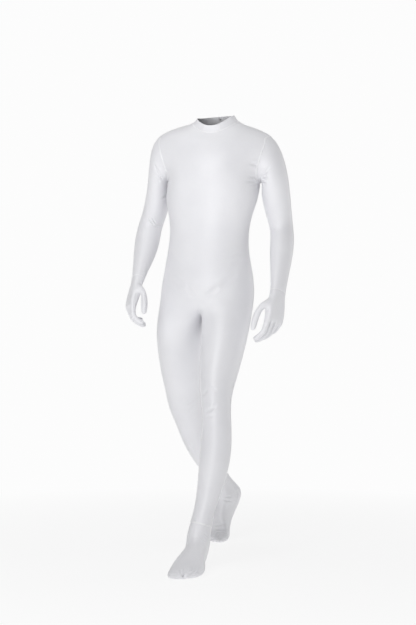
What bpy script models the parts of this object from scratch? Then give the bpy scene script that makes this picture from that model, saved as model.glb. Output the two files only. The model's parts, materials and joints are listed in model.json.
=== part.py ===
"""A full body spandex suit in a walking pose, as hollow cloth walls.

X is the suit's left, -Y the front and Z up, in metres. The tables measure from the floor under the hips.
The whole suit is then moved so that its origin is the middle of the neck opening, where it is held.
One coarse cage has the form of the suit. A Subdivision Surface rounds it, and each sewn piece is cut from
that surface as a wall of cloth with a gap at every seam.
"""

from collections import namedtuple
from math import cos, pi, radians, sin

import bmesh
import bpy
import numpy as np
from mathutils import Matrix, Vector

# Cloth and seams
CLOTH = 0.0012
SEAM_GAP = 0.0003
NECK_CENTRE = Vector((0.027, 0.008, 1.535))

# Cage sizes: the torso's rings have 16 points and every limb's have 10
TORSO_POINTS = 16
LIMB_POINTS = 10
LEFT_SIDE = TORSO_POINTS // 4
BACK_MIDDLE = TORSO_POINTS // 2
INSEAM = LIMB_POINTS - 1
OUTSEAM = 4

# Torso, from the fork of the legs to the top of the collar. mid_x is how far a ring's middle is to the left,
# and drop is how much lower its left side is than its middle.
TorsoRing = namedtuple("TorsoRing", "name mid_x half_width front_y back_y front_z side_z back_z drop")
TORSO = (
    TorsoRing("fork", -0.006, 0.169, -0.096, 0.126, 0.893, 0.915, 0.878, 0.0),
    TorsoRing("seat", -0.005, 0.168, -0.104, 0.134, 0.948, 0.958, 0.945, 0.0),
    TorsoRing("hip", -0.001, 0.160, -0.107, 0.124, 1.003, 1.006, 1.010, 0.0),
    TorsoRing("belly", 0.001, 0.147, -0.106, 0.100, 1.070, 1.072, 1.078, 0.0),
    TorsoRing("waist", 0.007, 0.140, -0.103, 0.085, 1.138, 1.140, 1.146, 0.0),
    TorsoRing("rib", 0.012, 0.147, -0.109, 0.087, 1.205, 1.206, 1.212, 0.0),
    TorsoRing("chest", 0.016, 0.170, -0.121, 0.103, 1.275, 1.272, 1.283, 0.0),
    TorsoRing("armpit", 0.020, 0.174, -0.128, 0.117, 1.340, 1.322, 1.350, 0.004),
    TorsoRing("breast", 0.022, 0.178, -0.120, 0.122, 1.388, 1.390, 1.398, 0.006),
    TorsoRing("yoke", 0.022, 0.182, -0.107, 0.119, 1.430, 1.440, 1.442, 0.006),
    TorsoRing("shoulder", 0.023, 0.188, -0.090, 0.107, 1.462, 1.490, 1.482, 0.006),
    TorsoRing("slope", 0.025, 0.128, -0.073, 0.088, 1.480, 1.526, 1.516, 0.004),
    TorsoRing("neck", 0.027, 0.079, -0.058, 0.073, 1.493, 1.540, 1.542, 0.0),
    TorsoRing("collar", 0.027, 0.067, -0.054, 0.066, 1.520, 1.560, 1.568, -0.003),
)
CROTCH = Vector((-0.019, 0.022, 0.846))
ARMHOLE_RINGS = ("armpit", "breast", "yoke", "shoulder")

# Armhole: an upright oval that leans out at its top, measured from the torso's middle
ARMHOLE_OUT = 0.183
ARMHOLE_Y = 0.012
ARMHOLE_Z = 1.419
ARMHOLE_DROP = 0.006
ARMHOLE_HALF_HEIGHT = 0.079
ARMHOLE_HALF_DEPTH = 0.064
ARMHOLE_LEAN = 0.31

# Arms, from the shoulder to the wrist seam. half_out and half_in are a ring's halves away from the body and
# towards it. spread leans a ring out to the side, swing turns it forward and twist turns the back of the hand
# forward, in degrees.
ArmRing = namedtuple("ArmRing", "name x y z half_out half_in half_front spread swing twist")
LEFT_ARM = (
    ArmRing("cap", 0.2317, 0.012, 1.376, 0.0640, 0.0640, 0.061, 58, 0, 0),
    ArmRing("deltoid", 0.2370, 0.020, 1.322, 0.0555, 0.0540, 0.058, 30, -4, 0),
    ArmRing("upper", 0.2405, 0.034, 1.268, 0.0505, 0.0495, 0.054, 13, -8, 0),
    ArmRing("lower", 0.2465, 0.050, 1.212, 0.0455, 0.0450, 0.049, 8, -6, 0),
    ArmRing("elbow", 0.2545, 0.060, 1.165, 0.0400, 0.0395, 0.046, 8, 8, 3),
    ArmRing("forearm", 0.2615, 0.038, 1.118, 0.0420, 0.0420, 0.046, 5, 24, 10),
    ArmRing("mid_forearm", 0.2635, 0.004, 1.060, 0.0390, 0.0390, 0.043, 3, 30, 18),
    ArmRing("low_forearm", 0.2660, -0.034, 0.990, 0.0270, 0.0270, 0.035, 2, 31, 25),
    ArmRing("wrist", 0.2670, -0.066, 0.931, 0.0205, 0.0205, 0.0305, 1, 27, 30),
)
RIGHT_ARM = (
    ArmRing("cap", -0.1820, 0.014, 1.390, 0.0660, 0.0640, 0.061, 61, 0, 0),
    ArmRing("deltoid", -0.1870, 0.030, 1.332, 0.0460, 0.0400, 0.058, 35, -3, 0),
    ArmRing("upper", -0.1940, 0.036, 1.272, 0.0450, 0.0420, 0.054, 18, -6, 0),
    ArmRing("lower", -0.2090, 0.040, 1.220, 0.0430, 0.0410, 0.049, 15, -3, 0),
    ArmRing("elbow", -0.2280, 0.045, 1.176, 0.0430, 0.0410, 0.046, 10, 14, 3),
    ArmRing("forearm", -0.2285, 0.018, 1.130, 0.0450, 0.0440, 0.046, 0, 32, 8),
    ArmRing("mid_forearm", -0.2275, -0.018, 1.082, 0.0410, 0.0400, 0.042, 0, 37, 15),
    ArmRing("low_forearm", -0.2290, -0.062, 1.026, 0.0285, 0.0285, 0.035, 2, 38, 22),
    ArmRing("wrist", -0.2300, -0.098, 0.980, 0.0210, 0.0210, 0.0285, 4, 36, 29),
)

# Gloves, from the wrist seam to the knuckles: along is the distance from the wrist
PalmRing = namedtuple("PalmRing", "name along half_thick half_width")
PALM = (
    PalmRing("heel", 0.024, 0.0178, 0.0325),
    PalmRing("thumb_web", 0.062, 0.0160, 0.0410),
    PalmRing("knuckles", 0.100, 0.0140, 0.0425),
)
FINGER_SIDES = (1.0, 0.5, 0.0, -0.5, -0.96)
Finger = namedtuple("Finger", "name proximal middle distal half_size splay drop knuckle_curl")
FINGERS = (
    Finger("index", 0.046, 0.028, 0.025, 0.0103, 1, 0.002, 0),
    Finger("middle", 0.051, 0.031, 0.026, 0.0105, 0, 0.0, 8),
    Finger("ring", 0.047, 0.029, 0.026, 0.0101, -1, 0.001, 15),
    Finger("little", 0.036, 0.022, 0.023, 0.0092, -3, 0.005, 22),
)
# The middle of each of the thumb's rings: along the hand, out to the thumb's side and over the palm
ThumbRing = namedtuple("ThumbRing", "along side palmward half_size")
LEFT_THUMB = (
    ThumbRing(0.052, 0.050, 0.018, 0.0145),
    ThumbRing(0.085, 0.059, 0.029, 0.0130),
    ThumbRing(0.117, 0.059, 0.036, 0.0116),
    ThumbRing(0.145, 0.058, 0.039, 0.0090),
)
RIGHT_THUMB = (
    ThumbRing(0.047, 0.042, 0.020, 0.0145),
    ThumbRing(0.078, 0.048, 0.031, 0.0130),
    ThumbRing(0.108, 0.050, 0.038, 0.0116),
    ThumbRing(0.134, 0.051, 0.042, 0.0090),
)
Hand = namedtuple("Hand", "spread swing twist knuckle_curl middle_curl tip_curl thumb")
LEFT_HAND = Hand(-5, 14, 30, 11, 42, 16, LEFT_THUMB)
RIGHT_HAND = Hand(7, 24, 30, 10, 54, 25, RIGHT_THUMB)

# Legs, from below the fork to the ankle seam
LegRing = namedtuple("LegRing", "name x y z half_width half_depth")
LEFT_LEG = (
    LegRing("groin", 0.0705, -0.022, 0.820, 0.0850, 0.091),
    LegRing("thigh", 0.0675, -0.058, 0.740, 0.0765, 0.085),
    LegRing("low_thigh", 0.0635, -0.096, 0.655, 0.0655, 0.076),
    LegRing("over_knee", 0.0620, -0.126, 0.590, 0.0545, 0.064),
    LegRing("knee", 0.0690, -0.146, 0.530, 0.0485, 0.057),
    LegRing("under_knee", 0.0725, -0.150, 0.475, 0.0495, 0.054),
    LegRing("calf", 0.0715, -0.158, 0.400, 0.0540, 0.060),
    LegRing("low_calf", 0.0650, -0.180, 0.315, 0.0495, 0.052),
    LegRing("shin", 0.0495, -0.207, 0.220, 0.0345, 0.039),
)
RIGHT_LEG = (
    LegRing("groin", -0.1110, 0.020, 0.818, 0.0835, 0.092),
    LegRing("thigh", -0.1215, 0.062, 0.740, 0.0800, 0.086),
    LegRing("low_thigh", -0.1280, 0.100, 0.655, 0.0725, 0.076),
    LegRing("over_knee", -0.1280, 0.130, 0.590, 0.0650, 0.067),
    LegRing("knee", -0.1310, 0.157, 0.530, 0.0600, 0.060),
    LegRing("under_knee", -0.1215, 0.190, 0.478, 0.0525, 0.056),
    LegRing("calf", -0.1110, 0.246, 0.405, 0.0545, 0.060),
    LegRing("low_calf", -0.0910, 0.312, 0.325, 0.0480, 0.050),
    LegRing("shin", -0.0690, 0.374, 0.258, 0.0370, 0.039),
)

# Feet, from the ankle seam to the toes, in the foot's own plane: u forward and w up from the point of the
# sole under the ankle. slant carries the inner side forward, inner_rise lifts it above the middle and
# hollow is the share of the foot's hollow by which it is drawn in.
FootRing = namedtuple("FootRing", "name top_u top_w bottom_u bottom_w half_width slant inner_rise hollow")
FOOT = (
    FootRing("ankle", 0.032, 0.149, -0.046, 0.139, 0.0350, 0.0, 0.009, 0.0),
    FootRing("malleolus", 0.046, 0.112, -0.052, 0.086, 0.0415, 0.0, 0.004, 0.0),
    FootRing("heel", 0.060, 0.096, -0.067, 0.030, 0.0400, 0.0, 0.0, -0.4),
    FootRing("instep", 0.078, 0.084, -0.028, -0.001, 0.0390, 0.05, 0.0, 0.35),
    FootRing("arch", 0.114, 0.066, 0.072, 0.010, 0.0430, 0.15, 0.0, 1.0),
    FootRing("ball", 0.156, 0.047, 0.150, -0.001, 0.0545, 0.35, 0.0, 0.2),
    FootRing("toes", 0.200, 0.033, 0.200, -0.001, 0.0565, 0.50, 0.0, 0.0),
    FootRing("tip", 0.226, 0.023, 0.230, 0.002, 0.0455, 0.55, 0.0, 0.0),
)
FOOT_SQUARE = 0.75
BALL_U = 0.168
BALL_BEND_HALF = 0.030
# heading is a foot's turn outward and heel_lift the lift of its heel about the ball, in degrees. lean is how
# far the ankle is to the outer side for its height. hollow is how far the arch draws in the inner side, and
# is below zero where the arch is flattened and fuller.
Foot = namedtuple("Foot", "x y heading heel_lift lean hollow")
LEFT_FOOT = Foot(0.011, -0.225, 7, 0, 0.15, -0.010)
RIGHT_FOOT = Foot(-0.0215, 0.548, 12, 44, 0.10, 0.017)

# Zip down the middle of the back, closed, with its slider near the collar's edge
ZIP_HALF_WIDTH = 0.0028
ZIP_THICK = 0.0022
ZIP_PROUD = 0.0006
ZIP_BOTTOM_Z = 1.04
ZIP_TOP_DROP = 0.0038
ZIP_TAIL_SHARE = 0.80

MM = 1000

# Slider, in the zip's own directions: side, up the zip from the top of the chain, and out from the cloth
SliderBlock = namedtuple("SliderBlock", "name half_side low high inner outer")
PLATE_OUT = ZIP_PROUD + SEAM_GAP + 0.0012
PLATE_IN = ZIP_PROUD - ZIP_THICK - SEAM_GAP - 0.0010
SLIDER_BLOCKS = (
    SliderBlock("outer_plate", 0.0038, -0.0085, 0.0030, ZIP_PROUD + SEAM_GAP, PLATE_OUT),
    SliderBlock("inner_plate", 0.0034, -0.0085, 0.0030, PLATE_IN, ZIP_PROUD - ZIP_THICK - SEAM_GAP),
    SliderBlock("post", 0.0022, SEAM_GAP, 0.0026, PLATE_IN + 0.0004, PLATE_OUT - 0.0004),
)
BAR_UP = -0.0032
BAR_OUT = PLATE_OUT + 0.0025
BAR_RADIUS = 0.0007
LUG_SIDE = 0.0033
LUG_HALF = 0.0005
EYE_INNER = 0.0011
EYE_OUTER = 0.0020
EYE_HALF_LENGTH = 0.0024
ROUND_SIDES = 16
TAB_LENGTH = 0.0150
TAB_HALF_WIDTH = 0.0028
TAB_HALF_THICK = 0.0006
TAB_LEAN = 8

# Colours
WHITE = (0.80, 0.80, 0.83, 1.0)
NYLON = (0.74, 0.74, 0.77, 1.0)
METAL = (0.70, 0.70, 0.72, 1.0)

CLOTH_PIECES = (
    "front", "back_left", "back_right", "sleeve_left", "sleeve_right", "glove_left", "glove_right",
    "foot_left", "foot_right", "collar_front", "collar_left", "collar_right",
)


def signed_power(value, power):
    return (abs(value) ** power) * (1 if value > 0 else -1)


def limit_share(count):
    """The share of its radius that a ring of this many cage points keeps once it is rounded."""
    return (2 + cos(2 * pi / count)) / 3


class Cage:
    """The suit's coarse cage: points, and four-sided faces that each belong to a sewn piece."""

    def __init__(self):
        self.points = []
        self.faces = []
        self.pieces = []

    def add(self, points):
        first = len(self.points)
        self.points += [Vector(p) for p in points]
        return list(range(first, len(self.points)))

    def face(self, corners, piece, turned=False):
        self.faces.append(tuple(reversed(corners)) if turned else tuple(corners))
        self.pieces.append(CLOTH_PIECES.index(piece))

    def join(self, upper, lower, pieces, turned=False, skip=()):
        """Faces from ring to ring. pieces names each face's piece, or one for them all."""
        count = len(upper)
        for k in range(count):
            if k in skip:
                continue
            after = (k + 1) % count
            piece = pieces if isinstance(pieces, str) else pieces[k]
            self.face((upper[k], upper[after], lower[after], lower[k]), piece, turned)


def torso_ring(row):
    """The points of a torso ring, from the middle of the front round the left side."""
    points = []
    middle_y = (row.front_y + row.back_y) / 2
    grow = 1 / limit_share(TORSO_POINTS)
    for k in range(TORSO_POINTS):
        turn = 2 * pi * k / TORSO_POINTS
        forward = cos(turn)
        end_y = row.front_y if forward > 0 else row.back_y
        end_z = row.front_z if forward > 0 else row.back_z
        points.append((
            row.mid_x + grow * row.half_width * sin(turn),
            middle_y + grow * (end_y - middle_y) * abs(forward),
            row.side_z + (end_z - row.side_z) * forward ** 2 - row.drop * sin(turn),
        ))
    return points


def armhole_points(side, mid_x):
    """The armhole's ten points, from its top round the front."""
    points = []
    grow = 1 / limit_share(LIMB_POINTS)
    for k in range(LIMB_POINTS):
        turn = 2 * pi * k / LIMB_POINTS
        rise = grow * ARMHOLE_HALF_HEIGHT * cos(turn)
        out = ARMHOLE_OUT + ARMHOLE_LEAN * rise
        y = ARMHOLE_Y - grow * ARMHOLE_HALF_DEPTH * sin(turn)
        points.append((mid_x + side * out, y, ARMHOLE_Z - side * ARMHOLE_DROP + rise))
    return points


def torso_column(side, column):
    """A column of the torso's left side, or its mirror on the right."""
    return column if side > 0 else (TORSO_POINTS - column) % TORSO_POINTS


def build_torso(cage):
    """Adds the torso and collar, and returns the fork ring, the crotch point and both armholes."""
    rings = {}
    for row in TORSO:
        rings[row.name] = cage.add(torso_ring(row))
    armholes = {}
    for side in (1, -1):
        oval = armhole_points(side, TORSO[-4].mid_x)
        before, at, after = (torso_column(side, LEFT_SIDE + step) for step in (-1, 0, 1))
        armpit, breast, yoke, shoulder = (rings[name] for name in ARMHOLE_RINGS)
        loop = [
            shoulder[at], shoulder[before], yoke[before], breast[before], armpit[before],
            armpit[at], armpit[after], breast[after], yoke[after], shoulder[after],
        ]
        for index, point in zip(loop, oval):
            cage.points[index] = Vector(point)
        armholes[side] = loop
    front = {torso_column(1, k) for k in range(LEFT_SIDE)} | {TORSO_POINTS - 1 - k for k in range(LEFT_SIDE)}
    body = [
        "front" if k in front else "back_left" if k < BACK_MIDDLE else "back_right"
        for k in range(TORSO_POINTS)
    ]
    band = [
        "collar_front" if k in (0, TORSO_POINTS - 1) else "collar_left" if k < BACK_MIDDLE else "collar_right"
        for k in range(TORSO_POINTS)
    ]
    under_arm = {LEFT_SIDE - 1, LEFT_SIDE, 3 * LEFT_SIDE - 1, 3 * LEFT_SIDE}
    for lower, upper in zip(TORSO, TORSO[1:]):
        open_there = lower.name in ARMHOLE_RINGS[:-1]
        pieces = band if upper.name == "collar" else body
        skip = under_arm if open_there else ()
        cage.join(rings[upper.name], rings[lower.name], pieces, turned=True, skip=skip)
    crotch = cage.add([CROTCH])[0]
    return rings["fork"], crotch, armholes


def ring_axes(direction, hint):
    """The hint made square to the direction, and the third axis of the two."""
    across = (hint - direction * hint.dot(direction)).normalized()
    return across, direction.cross(across)


def build_leg(cage, side, rows, fork, crotch, foot):
    """Adds a leg and its foot below the fork."""
    name = "left" if side > 0 else "right"
    pieces = ["back_" + name if OUTSEAM <= k < INSEAM else "front" for k in range(LIMB_POINTS)]
    above = [fork[torso_column(side, k)] for k in range(BACK_MIDDLE + 1)] + [crotch]
    turned = side > 0
    rings = foot_rings(side, foot)
    centres = [Vector((r.x, r.y, r.z)) for r in rows] + [sum(rings[0], Vector()) / LIMB_POINTS]
    hip = Vector((centres[0].x, centres[0].y * 0.3, 0.93))
    for place, row in enumerate(rows):
        last = centres[place - 1] if place else hip
        direction = (centres[place + 1] - last).normalized()
        front, inward = ring_axes(direction, Vector((0, -1, 0)))
        inward = inward * side
        ring = cage.add(limb_ring(centres[place], front * row.half_depth, inward * row.half_width))
        cage.join(above, ring, pieces, turned)
        above = ring
    ring = cage.add(rings[0])
    cage.join(above, ring, pieces, turned)
    above = ring
    piece = "foot_" + name
    for points in rings[1:]:
        ring = cage.add(points)
        cage.join(above, ring, piece, turned)
        above = ring
    top = above[0:OUTSEAM]
    sole = list(reversed(above[OUTSEAM + 1:INSEAM]))
    cage.face((above[INSEAM], top[0], sole[0]), piece, turned)
    for k in range(len(top) - 1):
        cage.face((top[k], top[k + 1], sole[k + 1], sole[k]), piece, turned)
    cage.face((top[-1], above[OUTSEAM], sole[-1]), piece, turned)


def limb_ring(centre, front, inward, square=1.0):
    """Ten points round a leg: the inner side is the last, then front, outer side and back."""
    points = []
    grow = 1 / limit_share(LIMB_POINTS)
    for k in range(LIMB_POINTS):
        turn = 2 * pi * (k + 1) / LIMB_POINTS
        across = signed_power(cos(turn), square)
        ahead = signed_power(sin(turn), square)
        points.append(centre + inward * (grow * across) + front * (grow * ahead))
    return points


def foot_rings(side, foot):
    """The rings of a foot in its place. Behind the ball, a lifted heel turns the foot about the ball."""
    heading = radians(foot.heading)
    forward = Vector((side * sin(heading), -cos(heading), 0))
    inward = Vector((-side * cos(heading), -sin(heading), 0))
    rings = []
    for row in FOOT:
        top = Vector((row.top_u, 0, row.top_w))
        bottom = Vector((row.bottom_u, 0, row.bottom_w))
        flat = limb_ring((top + bottom) / 2, (top - bottom) / 2, Vector((0, row.half_width, 0)), FOOT_SQUARE)
        ring = []
        for point in flat:
            u = point.x + row.slant * point.y
            w = point.z + row.inner_rise * point.y / row.half_width
            share = min(1, max(0, (BALL_U + BALL_BEND_HALF - u) / (2 * BALL_BEND_HALF)))
            lift = radians(foot.heel_lift) * share * share * (3 - 2 * share)
            back = u - BALL_U
            bent_u = back * cos(lift) + w * sin(lift) + BALL_U
            bent_w = -back * sin(lift) + w * cos(lift)
            drawn_in = foot.hollow * row.hollow * max(0, point.y) / row.half_width
            across = point.y - foot.lean * w - drawn_in
            ring.append(Vector((foot.x, foot.y, bent_w)) + forward * bent_u + inward * across)
        rings.append(ring)
    return rings


def arm_frame(side, spread, swing, twist):
    """The direction down the arm, the outward axis and the forward axis."""
    down = -cos(radians(spread)) * cos(radians(swing))
    direction = Vector((side * sin(radians(spread)), -sin(radians(swing)), down)).normalized()
    front, third = ring_axes(direction, Vector((0, -1, 0)))
    outward = third * -side
    turn = radians(twist)
    return direction, outward * cos(turn) + front * sin(turn), front * cos(turn) - outward * sin(turn)


def sleeve_ring(row, outward, front):
    """Ten points round an arm: outer side, front, inner side, back."""
    points = []
    centre = Vector((row.x, row.y, row.z))
    grow = 1 / limit_share(LIMB_POINTS)
    for k in range(LIMB_POINTS):
        turn = 2 * pi * k / LIMB_POINTS
        half = row.half_out if cos(turn) > 0 else row.half_in
        across = outward * (grow * half * cos(turn))
        points.append(centre + across + front * (grow * row.half_front * sin(turn)))
    return points


def build_arm(cage, side, rows, armhole, hand):
    name = "left" if side > 0 else "right"
    turned = side < 0
    above = armhole
    for row in rows:
        _, outward, front = arm_frame(side, row.spread, row.swing, row.twist)
        ring = cage.add(sleeve_ring(row, outward, front))
        cage.join(above, ring, "sleeve_" + name, turned)
        above = ring
    wrist = rows[-1]
    build_glove(cage, side, above, Vector((wrist.x, wrist.y, wrist.z)), hand, "glove_" + name)


def palm_points(centre, dorsal, thumbward, row):
    """The ten points of a palm ring, in step with the arm's: back of the hand, thumb side, palm, far side."""
    backs = [centre + thumbward * (row.half_width * s) + dorsal * row.half_thick for s in FINGER_SIDES]
    palms = [centre + thumbward * (row.half_width * s) - dorsal * row.half_thick for s in FINGER_SIDES]
    return [backs[2], backs[1], backs[0], *palms, backs[4], backs[3]]


def finger_ring(centre, dorsal, thumbward, size):
    """Four points: far side back, thumb side back, thumb side palm, far side palm."""
    corners = ((-1, 1), (1, 1), (1, -1), (-1, -1))
    return [centre + thumbward * (size * a) + dorsal * (size * b) for a, b in corners]


def build_finger(cage, base, start, frame, finger, curls, piece, turned):
    """A finger from its base loop: it curls towards the palm by each angle in turn."""
    along, dorsal, thumbward = frame
    above = base
    centre = start
    size = finger.half_size
    for length, curl, scale in (
        (finger.proximal * 0.34, curls[0], 1.0),
        (finger.proximal * 0.66, 0, 1.0),
        (finger.middle, curls[1], 0.95),
        (finger.distal * 0.92, curls[2], 0.80),
    ):
        bend = Matrix.Rotation(radians(curl), 3, dorsal.cross(along).normalized())
        along = bend @ along
        dorsal = bend @ dorsal
        centre = centre + along * length
        ring = cage.add(finger_ring(centre, dorsal, thumbward, size * scale))
        cage.join(above, ring, piece, turned)
        above = ring
    cage.face(above, piece, turned)


def build_glove(cage, side, wrist, wrist_centre, hand, piece):
    """Palm, four fingers and thumb beyond the wrist seam."""
    turned = side < 0
    along, dorsal, thumbward = arm_frame(side, hand.spread, hand.swing, hand.twist)
    above = wrist
    for row in PALM:
        centre = wrist_centre + along * row.along
        ring = cage.add(palm_points(centre, dorsal, thumbward, row))
        thumb_here = row.name == "thumb_web"
        cage.join(above, ring, piece, turned, skip=(2,) if thumb_here else ())
        if thumb_here:
            thumb_base = [above[2], above[3], ring[3], ring[2]]
        above = ring
    backs = [above[i] for i in (2, 1, 0, 9, 8)]
    palms = [above[i] for i in (3, 4, 5, 6, 7)]
    for k, finger in enumerate(FINGERS):
        base = [backs[k + 1], backs[k], palms[k], palms[k + 1]]
        start = sum((cage.points[i] for i in base), Vector()) / 4 - along * finger.drop
        splay = radians(finger.splay)
        frame = (
            along * cos(splay) + thumbward * sin(splay),
            dorsal,
            thumbward * cos(splay) - along * sin(splay),
        )
        curls = (hand.knuckle_curl + finger.knuckle_curl, hand.middle_curl, hand.tip_curl)
        build_finger(cage, base, start, frame, finger, curls, piece, turned)
    build_thumb(cage, thumb_base, wrist_centre, (along, dorsal, thumbward), hand.thumb, piece, turned)


def build_thumb(cage, base, wrist_centre, frame, rows, piece, turned):
    """The thumb leaves the hand's edge over the palm, then runs down beside the fingers."""
    along, dorsal, thumbward = frame
    above = base
    last = sum((cage.points[i] for i in base), Vector()) / 4
    for row in rows:
        centre = wrist_centre + along * row.along + thumbward * row.side - dorsal * row.palmward
        direction = (centre - last).normalized()
        back, across = ring_axes(direction, dorsal + thumbward * 0.6)
        if across.dot(thumbward - along) < 0:
            across = -across
        # In step with the base: back and near the wrist, palm and near the wrist, palm and far, back and far
        corners = ((1, 1), (-1, 1), (-1, -1), (1, -1))
        size = row.half_size
        ring = cage.add([centre + back * (size * a) + across * (size * b) for a, b in corners])
        cage.join(above, ring, piece, turned)
        above = ring
        last = centre
    cage.face(above, piece, turned)


def suit_cage():
    cage = Cage()
    fork, crotch, armholes = build_torso(cage)
    build_leg(cage, 1, LEFT_LEG, fork, crotch, LEFT_FOOT)
    build_leg(cage, -1, RIGHT_LEG, fork, crotch, RIGHT_FOOT)
    build_arm(cage, 1, LEFT_ARM, armholes[1], LEFT_HAND)
    build_arm(cage, -1, RIGHT_ARM, armholes[-1], RIGHT_HAND)
    return cage


def surface_of(cage, levels):
    """The cage rounded by a Subdivision Surface, as a mesh whose faces carry their piece's number."""
    mesh = bpy.data.meshes.new("suit_cage")
    mesh.from_pydata([p - NECK_CENTRE for p in cage.points], [], cage.faces)
    for name in CLOTH_PIECES:
        mesh.materials.append(bpy.data.materials.new("mark_" + name))
    mesh.polygons.foreach_set("material_index", cage.pieces)
    guide = bpy.data.objects.new("suit_cage", mesh)
    guide.hide_render = True
    guide.display_type = "WIRE"
    bpy.context.scene.collection.objects.link(guide)
    rounded = guide.modifiers.new("round", "SUBSURF")
    rounded.levels = rounded.render_levels = levels
    graph = bpy.context.evaluated_depsgraph_get()
    surface = bpy.data.meshes.new_from_object(guide.evaluated_get(graph))
    bpy.data.objects.remove(guide)
    return surface


class Surface:
    """The rounded suit as arrays: points, outward normals, faces and each face's piece."""

    def __init__(self, mesh):
        count = len(mesh.vertices)
        self.points = np.empty(count * 3)
        mesh.vertices.foreach_get("co", self.points)
        self.points = self.points.reshape(-1, 3)
        self.normals = np.array([tuple(n.vector) for n in mesh.vertex_normals])
        self.faces = [tuple(p.vertices) for p in mesh.polygons]
        self.pieces = [p.material_index for p in mesh.polygons]
        self.across = {}
        for face, piece in zip(self.faces, self.pieces):
            for start, end in zip(face, face[1:] + face[:1]):
                self.across[(start, end)] = piece


def seam_inset(surface, start, end, piece):
    """How far a piece stops short of the edge that it shares with the piece across it."""
    other = surface.across.get((end, start))
    if other is None:
        return 0.0
    names = {CLOTH_PIECES[piece], CLOTH_PIECES[other]}
    height = (surface.points[start][2] + surface.points[end][2]) / 2 + NECK_CENTRE.z
    beside_zip = names in ({"back_left", "back_right"}, {"collar_left", "collar_right"})
    if beside_zip and height > ZIP_BOTTOM_Z:
        return ZIP_HALF_WIDTH + SEAM_GAP
    return SEAM_GAP / 2


def cut_piece(surface, name):
    """The outer and inner points and the faces of one sewn piece, drawn back from its seams."""
    piece = CLOTH_PIECES.index(name)
    faces = [f for f, p in zip(surface.faces, surface.pieces) if p == piece]
    edges = {}
    for face in faces:
        for start, end in zip(face, face[1:] + face[:1]):
            edges[(start, end)] = face
    rim = [edge for edge in edges if (edge[1], edge[0]) not in edges]
    pulls = {}
    for start, end in rim:
        middle = surface.points[list(edges[(start, end)])].mean(0)
        line = surface.points[end] - surface.points[start]
        line /= np.linalg.norm(line)
        for vertex in (start, end):
            normal = surface.normals[vertex]
            inward = np.cross(normal, line)
            if inward @ (middle - surface.points[vertex]) < 0:
                inward = -inward
            inward /= np.linalg.norm(inward)
            pulls.setdefault(vertex, []).append((inward, seam_inset(surface, start, end, piece)))
    used = sorted({v for f in faces for v in f})
    place = {v: k for k, v in enumerate(used)}
    outer = surface.points[used].copy()
    for vertex, wanted in pulls.items():
        directions = np.array([w[0] for w in wanted])
        distances = np.array([w[1] for w in wanted])
        if len(wanted) == 2 and directions[0] @ directions[1] > 0.8:
            distances[:] = distances.max()
        shift = np.linalg.lstsq(directions, distances, rcond=0.25)[0]
        outer[place[vertex]] += shift
    inner = outer - surface.normals[used] * CLOTH
    corners = [tuple(place[v] for v in f) for f in faces]
    rim = [(place[a], place[b]) for a, b in rim]
    return outer, inner, corners, rim


def halves(quad, points):
    """A four-sided face as two triangles, cut along its shorter diagonal."""
    a, b, c, d = quad
    if np.linalg.norm(points[a] - points[c]) <= np.linalg.norm(points[b] - points[d]):
        return (a, b, c), (a, c, d)
    return (a, b, d), (b, c, d)


def wall(name, surface, material):
    """One sewn piece as a closed wall of cloth."""
    outer, inner, quads, rim = cut_piece(surface, name)
    count = len(outer)
    faces = [half for quad in quads for half in halves(quad, outer)]
    faces += [tuple(v + count for v in reversed(face)) for face in faces]
    faces += [(b, a, a + count, b + count) for a, b in rim]
    mesh = bpy.data.meshes.new(name)
    mesh.from_pydata([tuple(p) for p in np.vstack([outer, inner])], [], faces)
    mesh.materials.append(material)
    mesh.shade_smooth()
    mesh.set_sharp_from_angle(angle=radians(50))
    obj = bpy.data.objects.new(name, mesh)
    return obj


class ZipLine:
    """The middle of the back where the zip runs, from its lower end to the top of the collar."""

    def __init__(self, surface):
        left = {CLOTH_PIECES.index("back_left"), CLOTH_PIECES.index("collar_left")}
        right = {CLOTH_PIECES.index("back_right"), CLOTH_PIECES.index("collar_right")}
        line = {
            end
            for (start, end), piece in surface.across.items()
            if piece in left and surface.across.get((end, start)) in right
            for end in (start, end)
        }
        line = sorted(line, key=lambda v: surface.points[v][2])
        height = surface.points[:, 2] + NECK_CENTRE.z
        middles = [(height[a] + height[b]) / 2 for a, b in zip(line, line[1:])]
        first = next(k for k, z in enumerate(middles) if z > ZIP_BOTTOM_Z)
        self.below = Vector(surface.points[line[first - 1]])
        line = line[first:]
        self.points = [Vector(surface.points[v]) for v in line]
        self.outs = [Vector(surface.normals[v]) for v in line]
        self.outs = [Vector((0, n.y, n.z)).normalized() for n in self.outs]

    def stations(self):
        """Point, outward direction and half width of the chain, from its tail to its top."""
        share = ZIP_TAIL_SHARE
        tail = self.points[0].lerp(self.below, share)
        narrow = (ZIP_HALF_WIDTH + SEAM_GAP) * (1 - share) + SEAM_GAP / 2 * share - SEAM_GAP
        yield tail, self.outs[0], narrow
        for point, out in zip(self.points[:-1], self.outs):
            yield point, out, ZIP_HALF_WIDTH
        top, up, out = self.top()
        yield top, out, ZIP_HALF_WIDTH

    def top(self):
        """The top of the chain, and the directions up the zip and out from the cloth there."""
        up = (self.points[-1] - self.points[-2]).normalized()
        out = Vector((0, up.z, -up.y)).normalized()
        if out.y < 0:
            out = -out
        return self.points[-1] - up * ZIP_TOP_DROP, up, out


def zip_chain(zip_line, material):
    points = []
    for centre, out, half in zip_line.stations():
        side = Vector((half, 0, 0))
        front = out * ZIP_PROUD
        back = out * (ZIP_PROUD - ZIP_THICK)
        points += [centre + side + front, centre - side + front, centre - side + back, centre + side + back]
    faces = [(3, 2, 1, 0)]
    last = len(points) - 4
    faces.append((last, last + 1, last + 2, last + 3))
    for low in range(0, last, 4):
        for k in range(4):
            after = (k + 1) % 4
            faces.append((low + k, low + after, low + 4 + after, low + 4 + k))
    return solid("zip_chain", points, faces, material)


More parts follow.
